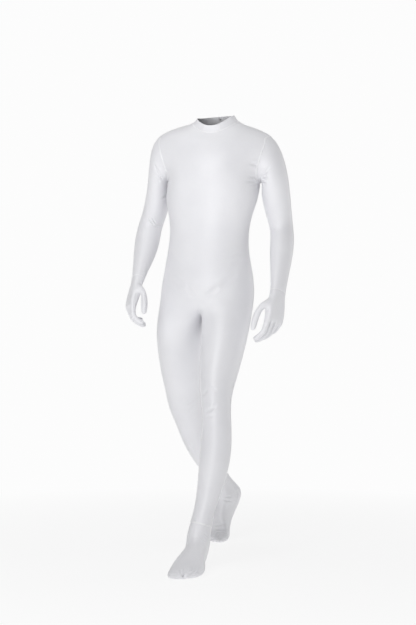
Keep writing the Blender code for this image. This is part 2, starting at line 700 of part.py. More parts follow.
def solid(name, points, faces, material):
    """A closed mesh with its faces turned outward."""
    mesh = bpy.data.meshes.new(name)
    mesh.from_pydata([tuple(p) for p in points], [], faces)
    work = bmesh.new()
    work.from_mesh(mesh)
    bmesh.ops.recalc_face_normals(work, faces=work.faces)
    work.to_mesh(mesh)
    work.free()
    mesh.materials.append(material)
    return bpy.data.objects.new(name, mesh)


def block_points(block, aside=0.0):
    """A block's corners and faces in millimetres, moved aside."""
    corners = []
    for out in (block.inner, block.outer):
        for side, up in ((-1, block.low), (1, block.low), (1, block.high), (-1, block.high)):
            corners.append(Vector((aside + side * block.half_side, up, out)) * MM)
    faces = [(0, 1, 2, 3), (7, 6, 5, 4)] + [(k, (k + 1) % 4, (k + 1) % 4 + 4, k + 4) for k in range(4)]
    return corners, faces


def rod_points(half_length, radius, up=0.0, out=0.0):
    """A round rod along the side direction, in millimetres."""
    points = []
    for side in (-half_length, half_length):
        for k in range(ROUND_SIDES):
            turn = 2 * pi * (k + 0.5) / ROUND_SIDES
            points.append(Vector((side, up + radius * cos(turn), out + radius * sin(turn))) * MM)
    n = ROUND_SIDES
    faces = [tuple(range(n)), tuple(range(2 * n - 1, n - 1, -1))]
    faces += [(k, (k + 1) % n, (k + 1) % n + n, k + n) for k in range(n)]
    return points, faces


def combined(name, first, others, place, material):
    """Solids joined or cut in millimetres, then put in their place. Each other one ends in its operation."""
    work = solid(name, *first, material)
    bpy.context.scene.collection.objects.link(work)
    tools = []
    for points, faces, operation in others:
        tool = solid(name + "_tool", points, faces, material)
        tool.hide_render = True
        bpy.context.scene.collection.objects.link(tool)
        tools.append(tool)
        step = work.modifiers.new(operation.lower(), "BOOLEAN")
        step.operation = operation
        step.solver = "EXACT"
        step.object = tool
    graph = bpy.context.evaluated_depsgraph_get()
    mesh = bpy.data.meshes.new_from_object(work.evaluated_get(graph))
    for old in [work] + tools:
        bpy.data.objects.remove(old)
    mesh.name = name
    mesh.transform(place @ Matrix.Scale(1 / MM, 4))
    return bpy.data.objects.new(name, mesh)


def zip_slider(place, material):
    first, *rest = (block_points(block) for block in SLIDER_BLOCKS)
    others = [(*block, "UNION") for block in rest]
    low, high = BAR_UP - 0.0013, BAR_UP + 0.0013
    lug = SliderBlock("lug", LUG_HALF, low, high, PLATE_OUT - 0.0004, BAR_OUT + 0.0013)
    for side in (-1, 1):
        others.append((*block_points(lug, side * LUG_SIDE), "UNION"))
    others.append((*rod_points(LUG_SIDE, BAR_RADIUS, BAR_UP, BAR_OUT), "UNION"))
    return combined("zip_slider", first, others, place, material)


def zip_pull(place, material):
    """The tab on its eye, hanging from the slider's bar with its free end near the cloth."""
    hang = place @ Matrix.Translation((0, BAR_UP, BAR_OUT)) @ Matrix.Rotation(radians(TAB_LEAN), 4, "X")
    first = rod_points(EYE_HALF_LENGTH, EYE_OUTER)
    thick = TAB_HALF_THICK
    flat = thick + 0.0001
    low, high = -EYE_OUTER - 0.0010, -EYE_INNER - 0.0003
    neck = SliderBlock("neck", EYE_HALF_LENGTH - 0.0002, low, high, -thick, thick)
    tab = SliderBlock("tab", TAB_HALF_WIDTH, -TAB_LENGTH, -EYE_OUTER - 0.0006, -flat, flat)
    others = [(*block_points(neck), "UNION"), (*block_points(tab), "UNION")]
    others.append((*rod_points(EYE_HALF_LENGTH + 0.001, EYE_INNER), "DIFFERENCE"))
    return combined("zip_pull", first, others, hang, material)


def zip_place(zip_line):
    """The frame of the slider: side, up the zip and out from the cloth, at the top of the chain."""
    top, up, out = zip_line.top()
    side = up.cross(out)
    place = Matrix((side, up, out)).transposed().to_4x4()
    place.translation = top
    return place


def plain_material(name, colour, roughness, metallic=0.0):
    material = bpy.data.materials.new(name)
    material.use_nodes = True
    shader = material.node_tree.nodes["Principled BSDF"]
    shader.inputs["Base Color"].default_value = colour
    shader.inputs["Roughness"].default_value = roughness
    shader.inputs["Metallic"].default_value = metallic
    return material


def main():
    for old in list(bpy.data.objects):
        bpy.data.objects.remove(old, do_unlink=True)
    suit = bpy.data.collections.new("spandex_suit")
    bpy.context.scene.collection.children.link(suit)
    spandex = plain_material("spandex", WHITE, 0.42)
    surface = Surface(surface_of(suit_cage(), levels=1))
    for name in CLOTH_PIECES:
        suit.objects.link(wall(name, surface, spandex))
    nylon = plain_material("zip_nylon", NYLON, 0.45)
    metal = plain_material("zip_metal", METAL, 0.30, 1.0)
    zip_line = ZipLine(surface)
    place = zip_place(zip_line)
    suit.objects.link(zip_chain(zip_line, nylon))
    suit.objects.link(zip_slider(place, metal))
    suit.objects.link(zip_pull(place, metal))


main()
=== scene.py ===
"""The look of a full body spandex suit: fine cloth shells, creases, seams, stitches, the zip and its light.

The tables and the cage are the same as in the part's source, so each shell lies on its solid. Metres, X to
the suit's left, -Y its front and Z up. The tables measure from the floor under the hips.
"""

import json
from collections import namedtuple
from math import cos, pi, radians, sin

import bpy
import numpy as np
from mathutils import Matrix, Vector
from mathutils.bvhtree import BVHTree
from mathutils.kdtree import KDTree

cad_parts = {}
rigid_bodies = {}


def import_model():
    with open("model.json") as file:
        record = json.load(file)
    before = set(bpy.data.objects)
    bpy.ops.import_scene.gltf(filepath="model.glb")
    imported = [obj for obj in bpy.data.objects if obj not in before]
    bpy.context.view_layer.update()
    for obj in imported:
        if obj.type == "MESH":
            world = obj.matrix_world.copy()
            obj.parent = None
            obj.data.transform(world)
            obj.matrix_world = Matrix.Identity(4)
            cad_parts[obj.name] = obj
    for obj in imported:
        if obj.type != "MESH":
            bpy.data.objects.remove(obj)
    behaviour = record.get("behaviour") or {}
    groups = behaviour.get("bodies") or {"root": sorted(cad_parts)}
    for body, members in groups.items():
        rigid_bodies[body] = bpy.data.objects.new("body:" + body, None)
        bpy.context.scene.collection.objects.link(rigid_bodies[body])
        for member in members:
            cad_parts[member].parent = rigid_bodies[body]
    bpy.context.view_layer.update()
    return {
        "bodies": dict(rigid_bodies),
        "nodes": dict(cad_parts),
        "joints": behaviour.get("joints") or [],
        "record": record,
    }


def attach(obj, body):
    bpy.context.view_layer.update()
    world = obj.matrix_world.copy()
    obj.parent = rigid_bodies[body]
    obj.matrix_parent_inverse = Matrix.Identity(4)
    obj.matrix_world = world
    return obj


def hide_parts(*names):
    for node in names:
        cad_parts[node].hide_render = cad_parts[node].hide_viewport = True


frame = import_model()

# Seams, and the point that the part is measured from
SEAM_GAP = 0.0003
NECK_CENTRE = Vector((0.027, 0.008, 1.535))

# Cage sizes: the torso's rings have 16 points and every limb's have 10
TORSO_POINTS = 16
LIMB_POINTS = 10
LEFT_SIDE = TORSO_POINTS // 4
BACK_MIDDLE = TORSO_POINTS // 2
INSEAM = LIMB_POINTS - 1
OUTSEAM = 4

# Torso, from the fork of the legs to the top of the collar. mid_x is how far a ring's middle is to the left,
# and drop is how much lower its left side is than its middle.
TorsoRing = namedtuple("TorsoRing", "name mid_x half_width front_y back_y front_z side_z back_z drop")
TORSO = (
    TorsoRing("fork", -0.006, 0.169, -0.096, 0.126, 0.893, 0.915, 0.878, 0.0),
    TorsoRing("seat", -0.005, 0.168, -0.104, 0.134, 0.948, 0.958, 0.945, 0.0),
    TorsoRing("hip", -0.001, 0.160, -0.107, 0.124, 1.003, 1.006, 1.010, 0.0),
    TorsoRing("belly", 0.001, 0.147, -0.106, 0.100, 1.070, 1.072, 1.078, 0.0),
    TorsoRing("waist", 0.007, 0.140, -0.103, 0.085, 1.138, 1.140, 1.146, 0.0),
    TorsoRing("rib", 0.012, 0.147, -0.109, 0.087, 1.205, 1.206, 1.212, 0.0),
    TorsoRing("chest", 0.016, 0.170, -0.121, 0.103, 1.275, 1.272, 1.283, 0.0),
    TorsoRing("armpit", 0.020, 0.174, -0.128, 0.117, 1.340, 1.322, 1.350, 0.004),
    TorsoRing("breast", 0.022, 0.178, -0.120, 0.122, 1.388, 1.390, 1.398, 0.006),
    TorsoRing("yoke", 0.022, 0.182, -0.107, 0.119, 1.430, 1.440, 1.442, 0.006),
    TorsoRing("shoulder", 0.023, 0.188, -0.090, 0.107, 1.462, 1.490, 1.482, 0.006),
    TorsoRing("slope", 0.025, 0.128, -0.073, 0.088, 1.480, 1.526, 1.516, 0.004),
    TorsoRing("neck", 0.027, 0.079, -0.058, 0.073, 1.493, 1.540, 1.542, 0.0),
    TorsoRing("collar", 0.027, 0.067, -0.054, 0.066, 1.520, 1.560, 1.568, -0.003),
)
CROTCH = Vector((-0.019, 0.022, 0.846))
ARMHOLE_RINGS = ("armpit", "breast", "yoke", "shoulder")

# Armhole: an upright oval that leans out at its top, measured from the torso's middle
ARMHOLE_OUT = 0.183
ARMHOLE_Y = 0.012
ARMHOLE_Z = 1.419
ARMHOLE_DROP = 0.006
ARMHOLE_HALF_HEIGHT = 0.079
ARMHOLE_HALF_DEPTH = 0.064
ARMHOLE_LEAN = 0.31

# Arms, from the shoulder to the wrist seam. half_out and half_in are a ring's halves away from the body and
# towards it. spread leans a ring out to the side, swing turns it forward and twist turns the back of the hand
# forward, in degrees.
ArmRing = namedtuple("ArmRing", "name x y z half_out half_in half_front spread swing twist")
LEFT_ARM = (
    ArmRing("cap", 0.2317, 0.012, 1.376, 0.0640, 0.0640, 0.061, 58, 0, 0),
    ArmRing("deltoid", 0.2370, 0.020, 1.322, 0.0555, 0.0540, 0.058, 30, -4, 0),
    ArmRing("upper", 0.2405, 0.034, 1.268, 0.0505, 0.0495, 0.054, 13, -8, 0),
    ArmRing("lower", 0.2465, 0.050, 1.212, 0.0455, 0.0450, 0.049, 8, -6, 0),
    ArmRing("elbow", 0.2545, 0.060, 1.165, 0.0400, 0.0395, 0.046, 8, 8, 3),
    ArmRing("forearm", 0.2615, 0.038, 1.118, 0.0420, 0.0420, 0.046, 5, 24, 10),
    ArmRing("mid_forearm", 0.2635, 0.004, 1.060, 0.0390, 0.0390, 0.043, 3, 30, 18),
    ArmRing("low_forearm", 0.2660, -0.034, 0.990, 0.0270, 0.0270, 0.035, 2, 31, 25),
    ArmRing("wrist", 0.2670, -0.066, 0.931, 0.0205, 0.0205, 0.0305, 1, 27, 30),
)
RIGHT_ARM = (
    ArmRing("cap", -0.1820, 0.014, 1.390, 0.0660, 0.0640, 0.061, 61, 0, 0),
    ArmRing("deltoid", -0.1870, 0.030, 1.332, 0.0460, 0.0400, 0.058, 35, -3, 0),
    ArmRing("upper", -0.1940, 0.036, 1.272, 0.0450, 0.0420, 0.054, 18, -6, 0),
    ArmRing("lower", -0.2090, 0.040, 1.220, 0.0430, 0.0410, 0.049, 15, -3, 0),
    ArmRing("elbow", -0.2280, 0.045, 1.176, 0.0430, 0.0410, 0.046, 10, 14, 3),
    ArmRing("forearm", -0.2285, 0.018, 1.130, 0.0450, 0.0440, 0.046, 0, 32, 8),
    ArmRing("mid_forearm", -0.2275, -0.018, 1.082, 0.0410, 0.0400, 0.042, 0, 37, 15),
    ArmRing("low_forearm", -0.2290, -0.062, 1.026, 0.0285, 0.0285, 0.035, 2, 38, 22),
    ArmRing("wrist", -0.2300, -0.098, 0.980, 0.0210, 0.0210, 0.0285, 4, 36, 29),
)

# Gloves, from the wrist seam to the knuckles: along is the distance from the wrist
PalmRing = namedtuple("PalmRing", "name along half_thick half_width")
PALM = (
    PalmRing("heel", 0.024, 0.0178, 0.0325),
    PalmRing("thumb_web", 0.062, 0.0160, 0.0410),
    PalmRing("knuckles", 0.100, 0.0140, 0.0425),
)
FINGER_SIDES = (1.0, 0.5, 0.0, -0.5, -0.96)
Finger = namedtuple("Finger", "name proximal middle distal half_size splay drop knuckle_curl")
FINGERS = (
    Finger("index", 0.046, 0.028, 0.025, 0.0103, 1, 0.002, 0),
    Finger("middle", 0.051, 0.031, 0.026, 0.0105, 0, 0.0, 8),
    Finger("ring", 0.047, 0.029, 0.026, 0.0101, -1, 0.001, 15),
    Finger("little", 0.036, 0.022, 0.023, 0.0092, -3, 0.005, 22),
)
# The middle of each of the thumb's rings: along the hand, out to the thumb's side and over the palm
ThumbRing = namedtuple("ThumbRing", "along side palmward half_size")
LEFT_THUMB = (
    ThumbRing(0.052, 0.050, 0.018, 0.0145),
    ThumbRing(0.085, 0.059, 0.029, 0.0130),
    ThumbRing(0.117, 0.059, 0.036, 0.0116),
    ThumbRing(0.145, 0.058, 0.039, 0.0090),
)
RIGHT_THUMB = (
    ThumbRing(0.047, 0.042, 0.020, 0.0145),
    ThumbRing(0.078, 0.048, 0.031, 0.0130),
    ThumbRing(0.108, 0.050, 0.038, 0.0116),
    ThumbRing(0.134, 0.051, 0.042, 0.0090),
)
Hand = namedtuple("Hand", "spread swing twist knuckle_curl middle_curl tip_curl thumb")
LEFT_HAND = Hand(-5, 14, 30, 11, 42, 16, LEFT_THUMB)
RIGHT_HAND = Hand(7, 24, 30, 10, 54, 25, RIGHT_THUMB)

# Legs, from below the fork to the ankle seam
LegRing = namedtuple("LegRing", "name x y z half_width half_depth")
LEFT_LEG = (
    LegRing("groin", 0.0705, -0.022, 0.820, 0.0850, 0.091),
    LegRing("thigh", 0.0675, -0.058, 0.740, 0.0765, 0.085),
    LegRing("low_thigh", 0.0635, -0.096, 0.655, 0.0655, 0.076),
    LegRing("over_knee", 0.0620, -0.126, 0.590, 0.0545, 0.064),
    LegRing("knee", 0.0690, -0.146, 0.530, 0.0485, 0.057),
    LegRing("under_knee", 0.0725, -0.150, 0.475, 0.0495, 0.054),
    LegRing("calf", 0.0715, -0.158, 0.400, 0.0540, 0.060),
    LegRing("low_calf", 0.0650, -0.180, 0.315, 0.0495, 0.052),
    LegRing("shin", 0.0495, -0.207, 0.220, 0.0345, 0.039),
)
RIGHT_LEG = (
    LegRing("groin", -0.1110, 0.020, 0.818, 0.0835, 0.092),
    LegRing("thigh", -0.1215, 0.062, 0.740, 0.0800, 0.086),
    LegRing("low_thigh", -0.1280, 0.100, 0.655, 0.0725, 0.076),
    LegRing("over_knee", -0.1280, 0.130, 0.590, 0.0650, 0.067),
    LegRing("knee", -0.1310, 0.157, 0.530, 0.0600, 0.060),
    LegRing("under_knee", -0.1215, 0.190, 0.478, 0.0525, 0.056),
    LegRing("calf", -0.1110, 0.246, 0.405, 0.0545, 0.060),
    LegRing("low_calf", -0.0910, 0.312, 0.325, 0.0480, 0.050),
    LegRing("shin", -0.0690, 0.374, 0.258, 0.0370, 0.039),
)

# Feet, from the ankle seam to the toes, in the foot's own plane: u forward and w up from the point of the
# sole under the ankle. slant carries the inner side forward, inner_rise lifts it above the middle and
# hollow is the share of the foot's hollow by which it is drawn in.
FootRing = namedtuple("FootRing", "name top_u top_w bottom_u bottom_w half_width slant inner_rise hollow")
FOOT = (
    FootRing("ankle", 0.032, 0.149, -0.046, 0.139, 0.0350, 0.0, 0.009, 0.0),
    FootRing("malleolus", 0.046, 0.112, -0.052, 0.086, 0.0415, 0.0, 0.004, 0.0),
    FootRing("heel", 0.060, 0.096, -0.067, 0.030, 0.0400, 0.0, 0.0, -0.4),
    FootRing("instep", 0.078, 0.084, -0.028, -0.001, 0.0390, 0.05, 0.0, 0.35),
    FootRing("arch", 0.114, 0.066, 0.072, 0.010, 0.0430, 0.15, 0.0, 1.0),
    FootRing("ball", 0.156, 0.047, 0.150, -0.001, 0.0545, 0.35, 0.0, 0.2),
    FootRing("toes", 0.200, 0.033, 0.200, -0.001, 0.0565, 0.50, 0.0, 0.0),
    FootRing("tip", 0.226, 0.023, 0.230, 0.002, 0.0455, 0.55, 0.0, 0.0),
)
FOOT_SQUARE = 0.75
BALL_U = 0.168
BALL_BEND_HALF = 0.030
# heading is a foot's turn outward and heel_lift the lift of its heel about the ball, in degrees. lean is how
# far the ankle is to the outer side for its height. hollow is how far the arch draws in the inner side, and
# is below zero where the arch is flattened and fuller.
Foot = namedtuple("Foot", "x y heading heel_lift lean hollow")
LEFT_FOOT = Foot(0.011, -0.225, 7, 0, 0.15, -0.010)
RIGHT_FOOT = Foot(-0.0215, 0.548, 12, 44, 0.10, 0.017)

# Zip down the middle of the back, closed
ZIP_HALF_WIDTH = 0.0028
ZIP_BOTTOM_Z = 1.04
ZIP_TOP_DROP = 0.0038

CLOTH_PIECES = (
    "front", "back_left", "back_right", "sleeve_left", "sleeve_right", "glove_left", "glove_right",
    "foot_left", "foot_right", "collar_front", "collar_left", "collar_right",
)


def signed_power(value, power):
    return (abs(value) ** power) * (1 if value > 0 else -1)


def limit_share(count):
    """The share of its radius that a ring of this many cage points keeps once it is rounded."""
    return (2 + cos(2 * pi / count)) / 3


class Cage:
    """The suit's coarse cage: points, and four-sided faces that each belong to a sewn piece."""

    def __init__(self):
        self.points = []
        self.faces = []
        self.pieces = []

    def add(self, points):
        first = len(self.points)
        self.points += [Vector(p) for p in points]
        return list(range(first, len(self.points)))

    def face(self, corners, piece, turned=False):
        self.faces.append(tuple(reversed(corners)) if turned else tuple(corners))
        self.pieces.append(CLOTH_PIECES.index(piece))

    def join(self, upper, lower, pieces, turned=False, skip=()):
        """Faces from ring to ring. pieces names each face's piece, or one for them all."""
        count = len(upper)
        for k in range(count):
            if k in skip:
                continue
            after = (k + 1) % count
            piece = pieces if isinstance(pieces, str) else pieces[k]
            self.face((upper[k], upper[after], lower[after], lower[k]), piece, turned)


def torso_ring(row):
    """The points of a torso ring, from the middle of the front round the left side."""
    points = []
    middle_y = (row.front_y + row.back_y) / 2
    grow = 1 / limit_share(TORSO_POINTS)
    for k in range(TORSO_POINTS):
        turn = 2 * pi * k / TORSO_POINTS
        forward = cos(turn)
        end_y = row.front_y if forward > 0 else row.back_y
        end_z = row.front_z if forward > 0 else row.back_z
        points.append((
            row.mid_x + grow * row.half_width * sin(turn),
            middle_y + grow * (end_y - middle_y) * abs(forward),
            row.side_z + (end_z - row.side_z) * forward ** 2 - row.drop * sin(turn),
        ))
    return points


def armhole_points(side, mid_x):
    """The armhole's ten points, from its top round the front."""
    points = []
    grow = 1 / limit_share(LIMB_POINTS)
    for k in range(LIMB_POINTS):
        turn = 2 * pi * k / LIMB_POINTS
        rise = grow * ARMHOLE_HALF_HEIGHT * cos(turn)
        out = ARMHOLE_OUT + ARMHOLE_LEAN * rise
        y = ARMHOLE_Y - grow * ARMHOLE_HALF_DEPTH * sin(turn)
        points.append((mid_x + side * out, y, ARMHOLE_Z - side * ARMHOLE_DROP + rise))
    return points


def torso_column(side, column):
    """A column of the torso's left side, or its mirror on the right."""
    return column if side > 0 else (TORSO_POINTS - column) % TORSO_POINTS


def build_torso(cage):
    """Adds the torso and collar, and returns the fork ring, the crotch point and both armholes."""
    rings = {}
    for row in TORSO:
        rings[row.name] = cage.add(torso_ring(row))
    armholes = {}
    for side in (1, -1):
        oval = armhole_points(side, TORSO[-4].mid_x)
        before, at, after = (torso_column(side, LEFT_SIDE + step) for step in (-1, 0, 1))
        armpit, breast, yoke, shoulder = (rings[name] for name in ARMHOLE_RINGS)
        loop = [
            shoulder[at], shoulder[before], yoke[before], breast[before], armpit[before],
            armpit[at], armpit[after], breast[after], yoke[after], shoulder[after],
        ]
        for index, point in zip(loop, oval):
            cage.points[index] = Vector(point)
        armholes[side] = loop
    front = {torso_column(1, k) for k in range(LEFT_SIDE)} | {TORSO_POINTS - 1 - k for k in range(LEFT_SIDE)}
    body = [
        "front" if k in front else "back_left" if k < BACK_MIDDLE else "back_right"
        for k in range(TORSO_POINTS)
    ]
    band = [
        "collar_front" if k in (0, TORSO_POINTS - 1) else "collar_left" if k < BACK_MIDDLE else "collar_right"
        for k in range(TORSO_POINTS)
    ]
    under_arm = {LEFT_SIDE - 1, LEFT_SIDE, 3 * LEFT_SIDE - 1, 3 * LEFT_SIDE}
    for lower, upper in zip(TORSO, TORSO[1:]):
        open_there = lower.name in ARMHOLE_RINGS[:-1]
        pieces = band if upper.name == "collar" else body
        skip = under_arm if open_there else ()
        cage.join(rings[upper.name], rings[lower.name], pieces, turned=True, skip=skip)
    crotch = cage.add([CROTCH])[0]
    return rings["fork"], crotch, armholes


def ring_axes(direction, hint):
    """The hint made square to the direction, and the third axis of the two."""
    across = (hint - direction * hint.dot(direction)).normalized()
    return across, direction.cross(across)


def build_leg(cage, side, rows, fork, crotch, foot):
    """Adds a leg and its foot below the fork."""
    name = "left" if side > 0 else "right"
    pieces = ["back_" + name if OUTSEAM <= k < INSEAM else "front" for k in range(LIMB_POINTS)]
    above = [fork[torso_column(side, k)] for k in range(BACK_MIDDLE + 1)] + [crotch]
    turned = side > 0
    rings = foot_rings(side, foot)
    centres = [Vector((r.x, r.y, r.z)) for r in rows] + [sum(rings[0], Vector()) / LIMB_POINTS]
    hip = Vector((centres[0].x, centres[0].y * 0.3, 0.93))
    for place, row in enumerate(rows):
        last = centres[place - 1] if place else hip
        direction = (centres[place + 1] - last).normalized()
        front, inward = ring_axes(direction, Vector((0, -1, 0)))
        inward = inward * side
        ring = cage.add(limb_ring(centres[place], front * row.half_depth, inward * row.half_width))
        cage.join(above, ring, pieces, turned)
        above = ring
    ring = cage.add(rings[0])
    cage.join(above, ring, pieces, turned)
    above = ring
    piece = "foot_" + name
    for points in rings[1:]:
        ring = cage.add(points)
        cage.join(above, ring, piece, turned)
        above = ring
    top = above[0:OUTSEAM]
    sole = list(reversed(above[OUTSEAM + 1:INSEAM]))
    cage.face((above[INSEAM], top[0], sole[0]), piece, turned)
    for k in range(len(top) - 1):
        cage.face((top[k], top[k + 1], sole[k + 1], sole[k]), piece, turned)
    cage.face((top[-1], above[OUTSEAM], sole[-1]), piece, turned)


def limb_ring(centre, front, inward, square=1.0):
    """Ten points round a leg: the inner side is the last, then front, outer side and back."""
    points = []
    grow = 1 / limit_share(LIMB_POINTS)
    for k in range(LIMB_POINTS):
        turn = 2 * pi * (k + 1) / LIMB_POINTS
        across = signed_power(cos(turn), square)
        ahead = signed_power(sin(turn), square)
        points.append(centre + inward * (grow * across) + front * (grow * ahead))
    return points


def foot_rings(side, foot):
    """The rings of a foot in its place. Behind the ball, a lifted heel turns the foot about the ball."""
    heading = radians(foot.heading)
    forward = Vector((side * sin(heading), -cos(heading), 0))
    inward = Vector((-side * cos(heading), -sin(heading), 0))
    rings = []
    for row in FOOT:
        top = Vector((row.top_u, 0, row.top_w))
        bottom = Vector((row.bottom_u, 0, row.bottom_w))
        flat = limb_ring((top + bottom) / 2, (top - bottom) / 2, Vector((0, row.half_width, 0)), FOOT_SQUARE)
        ring = []
        for point in flat:
            u = point.x + row.slant * point.y
            w = point.z + row.inner_rise * point.y / row.half_width
            share = min(1, max(0, (BALL_U + BALL_BEND_HALF - u) / (2 * BALL_BEND_HALF)))
            lift = radians(foot.heel_lift) * share * share * (3 - 2 * share)
            back = u - BALL_U
            bent_u = back * cos(lift) + w * sin(lift) + BALL_U
            bent_w = -back * sin(lift) + w * cos(lift)
            drawn_in = foot.hollow * row.hollow * max(0, point.y) / row.half_width
            across = point.y - foot.lean * w - drawn_in
            ring.append(Vector((foot.x, foot.y, bent_w)) + forward * bent_u + inward * across)
        rings.append(ring)
    return rings


def arm_frame(side, spread, swing, twist):
    """The direction down the arm, the outward axis and the forward axis."""
    down = -cos(radians(spread)) * cos(radians(swing))
    direction = Vector((side * sin(radians(spread)), -sin(radians(swing)), down)).normalized()
    front, third = ring_axes(direction, Vector((0, -1, 0)))
    outward = third * -side
    turn = radians(twist)
    return direction, outward * cos(turn) + front * sin(turn), front * cos(turn) - outward * sin(turn)


def sleeve_ring(row, outward, front):
    """Ten points round an arm: outer side, front, inner side, back."""
    points = []
    centre = Vector((row.x, row.y, row.z))
    grow = 1 / limit_share(LIMB_POINTS)
    for k in range(LIMB_POINTS):
        turn = 2 * pi * k / LIMB_POINTS
        half = row.half_out if cos(turn) > 0 else row.half_in
        across = outward * (grow * half * cos(turn))
        points.append(centre + across + front * (grow * row.half_front * sin(turn)))
    return points


def build_arm(cage, side, rows, armhole, hand):
    name = "left" if side > 0 else "right"
    turned = side < 0
    above = armhole
    for row in rows:
        _, outward, front = arm_frame(side, row.spread, row.swing, row.twist)
        ring = cage.add(sleeve_ring(row, outward, front))
        cage.join(above, ring, "sleeve_" + name, turned)
        above = ring
    wrist = rows[-1]
    build_glove(cage, side, above, Vector((wrist.x, wrist.y, wrist.z)), hand, "glove_" + name)


def palm_points(centre, dorsal, thumbward, row):
    """The ten points of a palm ring, in step with the arm's: back of the hand, thumb side, palm, far side."""
    backs = [centre + thumbward * (row.half_width * s) + dorsal * row.half_thick for s in FINGER_SIDES]
    palms = [centre + thumbward * (row.half_width * s) - dorsal * row.half_thick for s in FINGER_SIDES]
    return [backs[2], backs[1], backs[0], *palms, backs[4], backs[3]]


def finger_ring(centre, dorsal, thumbward, size):
    """Four points: far side back, thumb side back, thumb side palm, far side palm."""
    corners = ((-1, 1), (1, 1), (1, -1), (-1, -1))
    return [centre + thumbward * (size * a) + dorsal * (size * b) for a, b in corners]


def build_finger(cage, base, start, frame, finger, curls, piece, turned):
    """A finger from its base loop: it curls towards the palm by each angle in turn."""
    along, dorsal, thumbward = frame
    above = base
    centre = start
    size = finger.half_size
    for length, curl, scale in (
        (finger.proximal * 0.34, curls[0], 1.0),
        (finger.proximal * 0.66, 0, 1.0),
        (finger.middle, curls[1], 0.95),
        (finger.distal * 0.92, curls[2], 0.80),
    ):
        bend = Matrix.Rotation(radians(curl), 3, dorsal.cross(along).normalized())
        along = bend @ along
        dorsal = bend @ dorsal
        centre = centre + along * length
        ring = cage.add(finger_ring(centre, dorsal, thumbward, size * scale))
        cage.join(above, ring, piece, turned)
        above = ring
    cage.face(above, piece, turned)


def build_glove(cage, side, wrist, wrist_centre, hand, piece):
    """Palm, four fingers and thumb beyond the wrist seam."""
    turned = side < 0
    along, dorsal, thumbward = arm_frame(side, hand.spread, hand.swing, hand.twist)
    above = wrist
    for row in PALM:
        centre = wrist_centre + along * row.along
        ring = cage.add(palm_points(centre, dorsal, thumbward, row))
        thumb_here = row.name == "thumb_web"
        cage.join(above, ring, piece, turned, skip=(2,) if thumb_here else ())
        if thumb_here:
            thumb_base = [above[2], above[3], ring[3], ring[2]]
        above = ring
    backs = [above[i] for i in (2, 1, 0, 9, 8)]
    palms = [above[i] for i in (3, 4, 5, 6, 7)]
    for k, finger in enumerate(FINGERS):
        base = [backs[k + 1], backs[k], palms[k], palms[k + 1]]
        start = sum((cage.points[i] for i in base), Vector()) / 4 - along * finger.drop
        splay = radians(finger.splay)
        frame = (
            along * cos(splay) + thumbward * sin(splay),
            dorsal,
            thumbward * cos(splay) - along * sin(splay),
        )
        curls = (hand.knuckle_curl + finger.knuckle_curl, hand.middle_curl, hand.tip_curl)
        build_finger(cage, base, start, frame, finger, curls, piece, turned)
    build_thumb(cage, thumb_base, wrist_centre, (along, dorsal, thumbward), hand.thumb, piece, turned)


def build_thumb(cage, base, wrist_centre, frame, rows, piece, turned):
    """The thumb leaves the hand's edge over the palm, then runs down beside the fingers."""
    along, dorsal, thumbward = frame
    above = base
    last = sum((cage.points[i] for i in base), Vector()) / 4
    for row in rows:
        centre = wrist_centre + along * row.along + thumbward * row.side - dorsal * row.palmward
        direction = (centre - last).normalized()
        back, across = ring_axes(direction, dorsal + thumbward * 0.6)
        if across.dot(thumbward - along) < 0:
            across = -across
        # In step with the base: back and near the wrist, palm and near the wrist, palm and far, back and far
        corners = ((1, 1), (-1, 1), (-1, -1), (1, -1))
        size = row.half_size
        ring = cage.add([centre + back * (size * a) + across * (size * b) for a, b in corners])
        cage.join(above, ring, piece, turned)
        above = ring
        last = centre
    cage.face(above, piece, turned)


def suit_cage():
    cage = Cage()
    fork, crotch, armholes = build_torso(cage)
    build_leg(cage, 1, LEFT_LEG, fork, crotch, LEFT_FOOT)
    build_leg(cage, -1, RIGHT_LEG, fork, crotch, RIGHT_FOOT)
    build_arm(cage, 1, LEFT_ARM, armholes[1], LEFT_HAND)
    build_arm(cage, -1, RIGHT_ARM, armholes[-1], RIGHT_HAND)
    return cage


# Looks, from here on

# How finely the cloth's outer side is divided. Its inner side is one step coarser, and so are the gloves
FINE = 4
SHELL = 0.0009
RIM_STEPS = 6
FLOOR_Z = -1.5364

# The steps of a crease's line. Its trough has a low ridge on each side. How far a crease reaches, and where
# its ridges are and how wide, count its own width, and its trough is wider on the cloth's inner side.
CREASE_STEPS = 10
CREASE_REACH = 3.2
CREASE_ENDS = 0.7
RIDGE_HEIGHT = 0.42
RIDGE_AT = 1.75
RIDGE_SPREAD = 0.75
INNER_WIDER = 1.6

# Stitches and bands, and how far along a line its direction is read
STITCH_PITCH = 0.0032
STITCH_LENGTH = 0.0024
STITCH_RADIUS = 0.00024
STITCH_FLAT = 0.8
BAND_STEP = 0.003
SHORTEST_SEAM = 8
TRACK_REACH = 0.003
HEM_STEP = 0.0025
HEM_SIDES = 10
HEM_ROWS = (0.0048, 0.0062)

# Zip: how the cloth beside it gives way, then its parts. A part's halves are across the zip, up it and out of
# the cloth, aside is its distance from the zip's middle and proud is its height over the cloth.
ZIP_EASE = 0.012
ZIP_FADE = 0.015
ZIP_DEPTH = 0.02
ZIP_CLEAR = ZIP_HALF_WIDTH + 0.0006
ZIP_REACH = 0.004
TAPE_HALF_WIDTH = 0.0030
TAPE_THICK = 0.0008
TOOTH_PITCH = 0.0014
TOOTH_ASIDE = 0.00085
TOOTH_PROUD = 0.0003
TOOTH_HALVES = (0.00165, 0.00052, 0.00045)
RAIL_ASIDE = 0.0022
RAIL_PROUD = 0.00015
RAIL_HALVES = (0.0004, 0.0006, 0.0004)
STOP_HALVES = (0.0024, 0.0012, 0.0007)
FOLD_ASIDE = 0.0040
ZIP_STITCHES_ASIDE = 0.0068

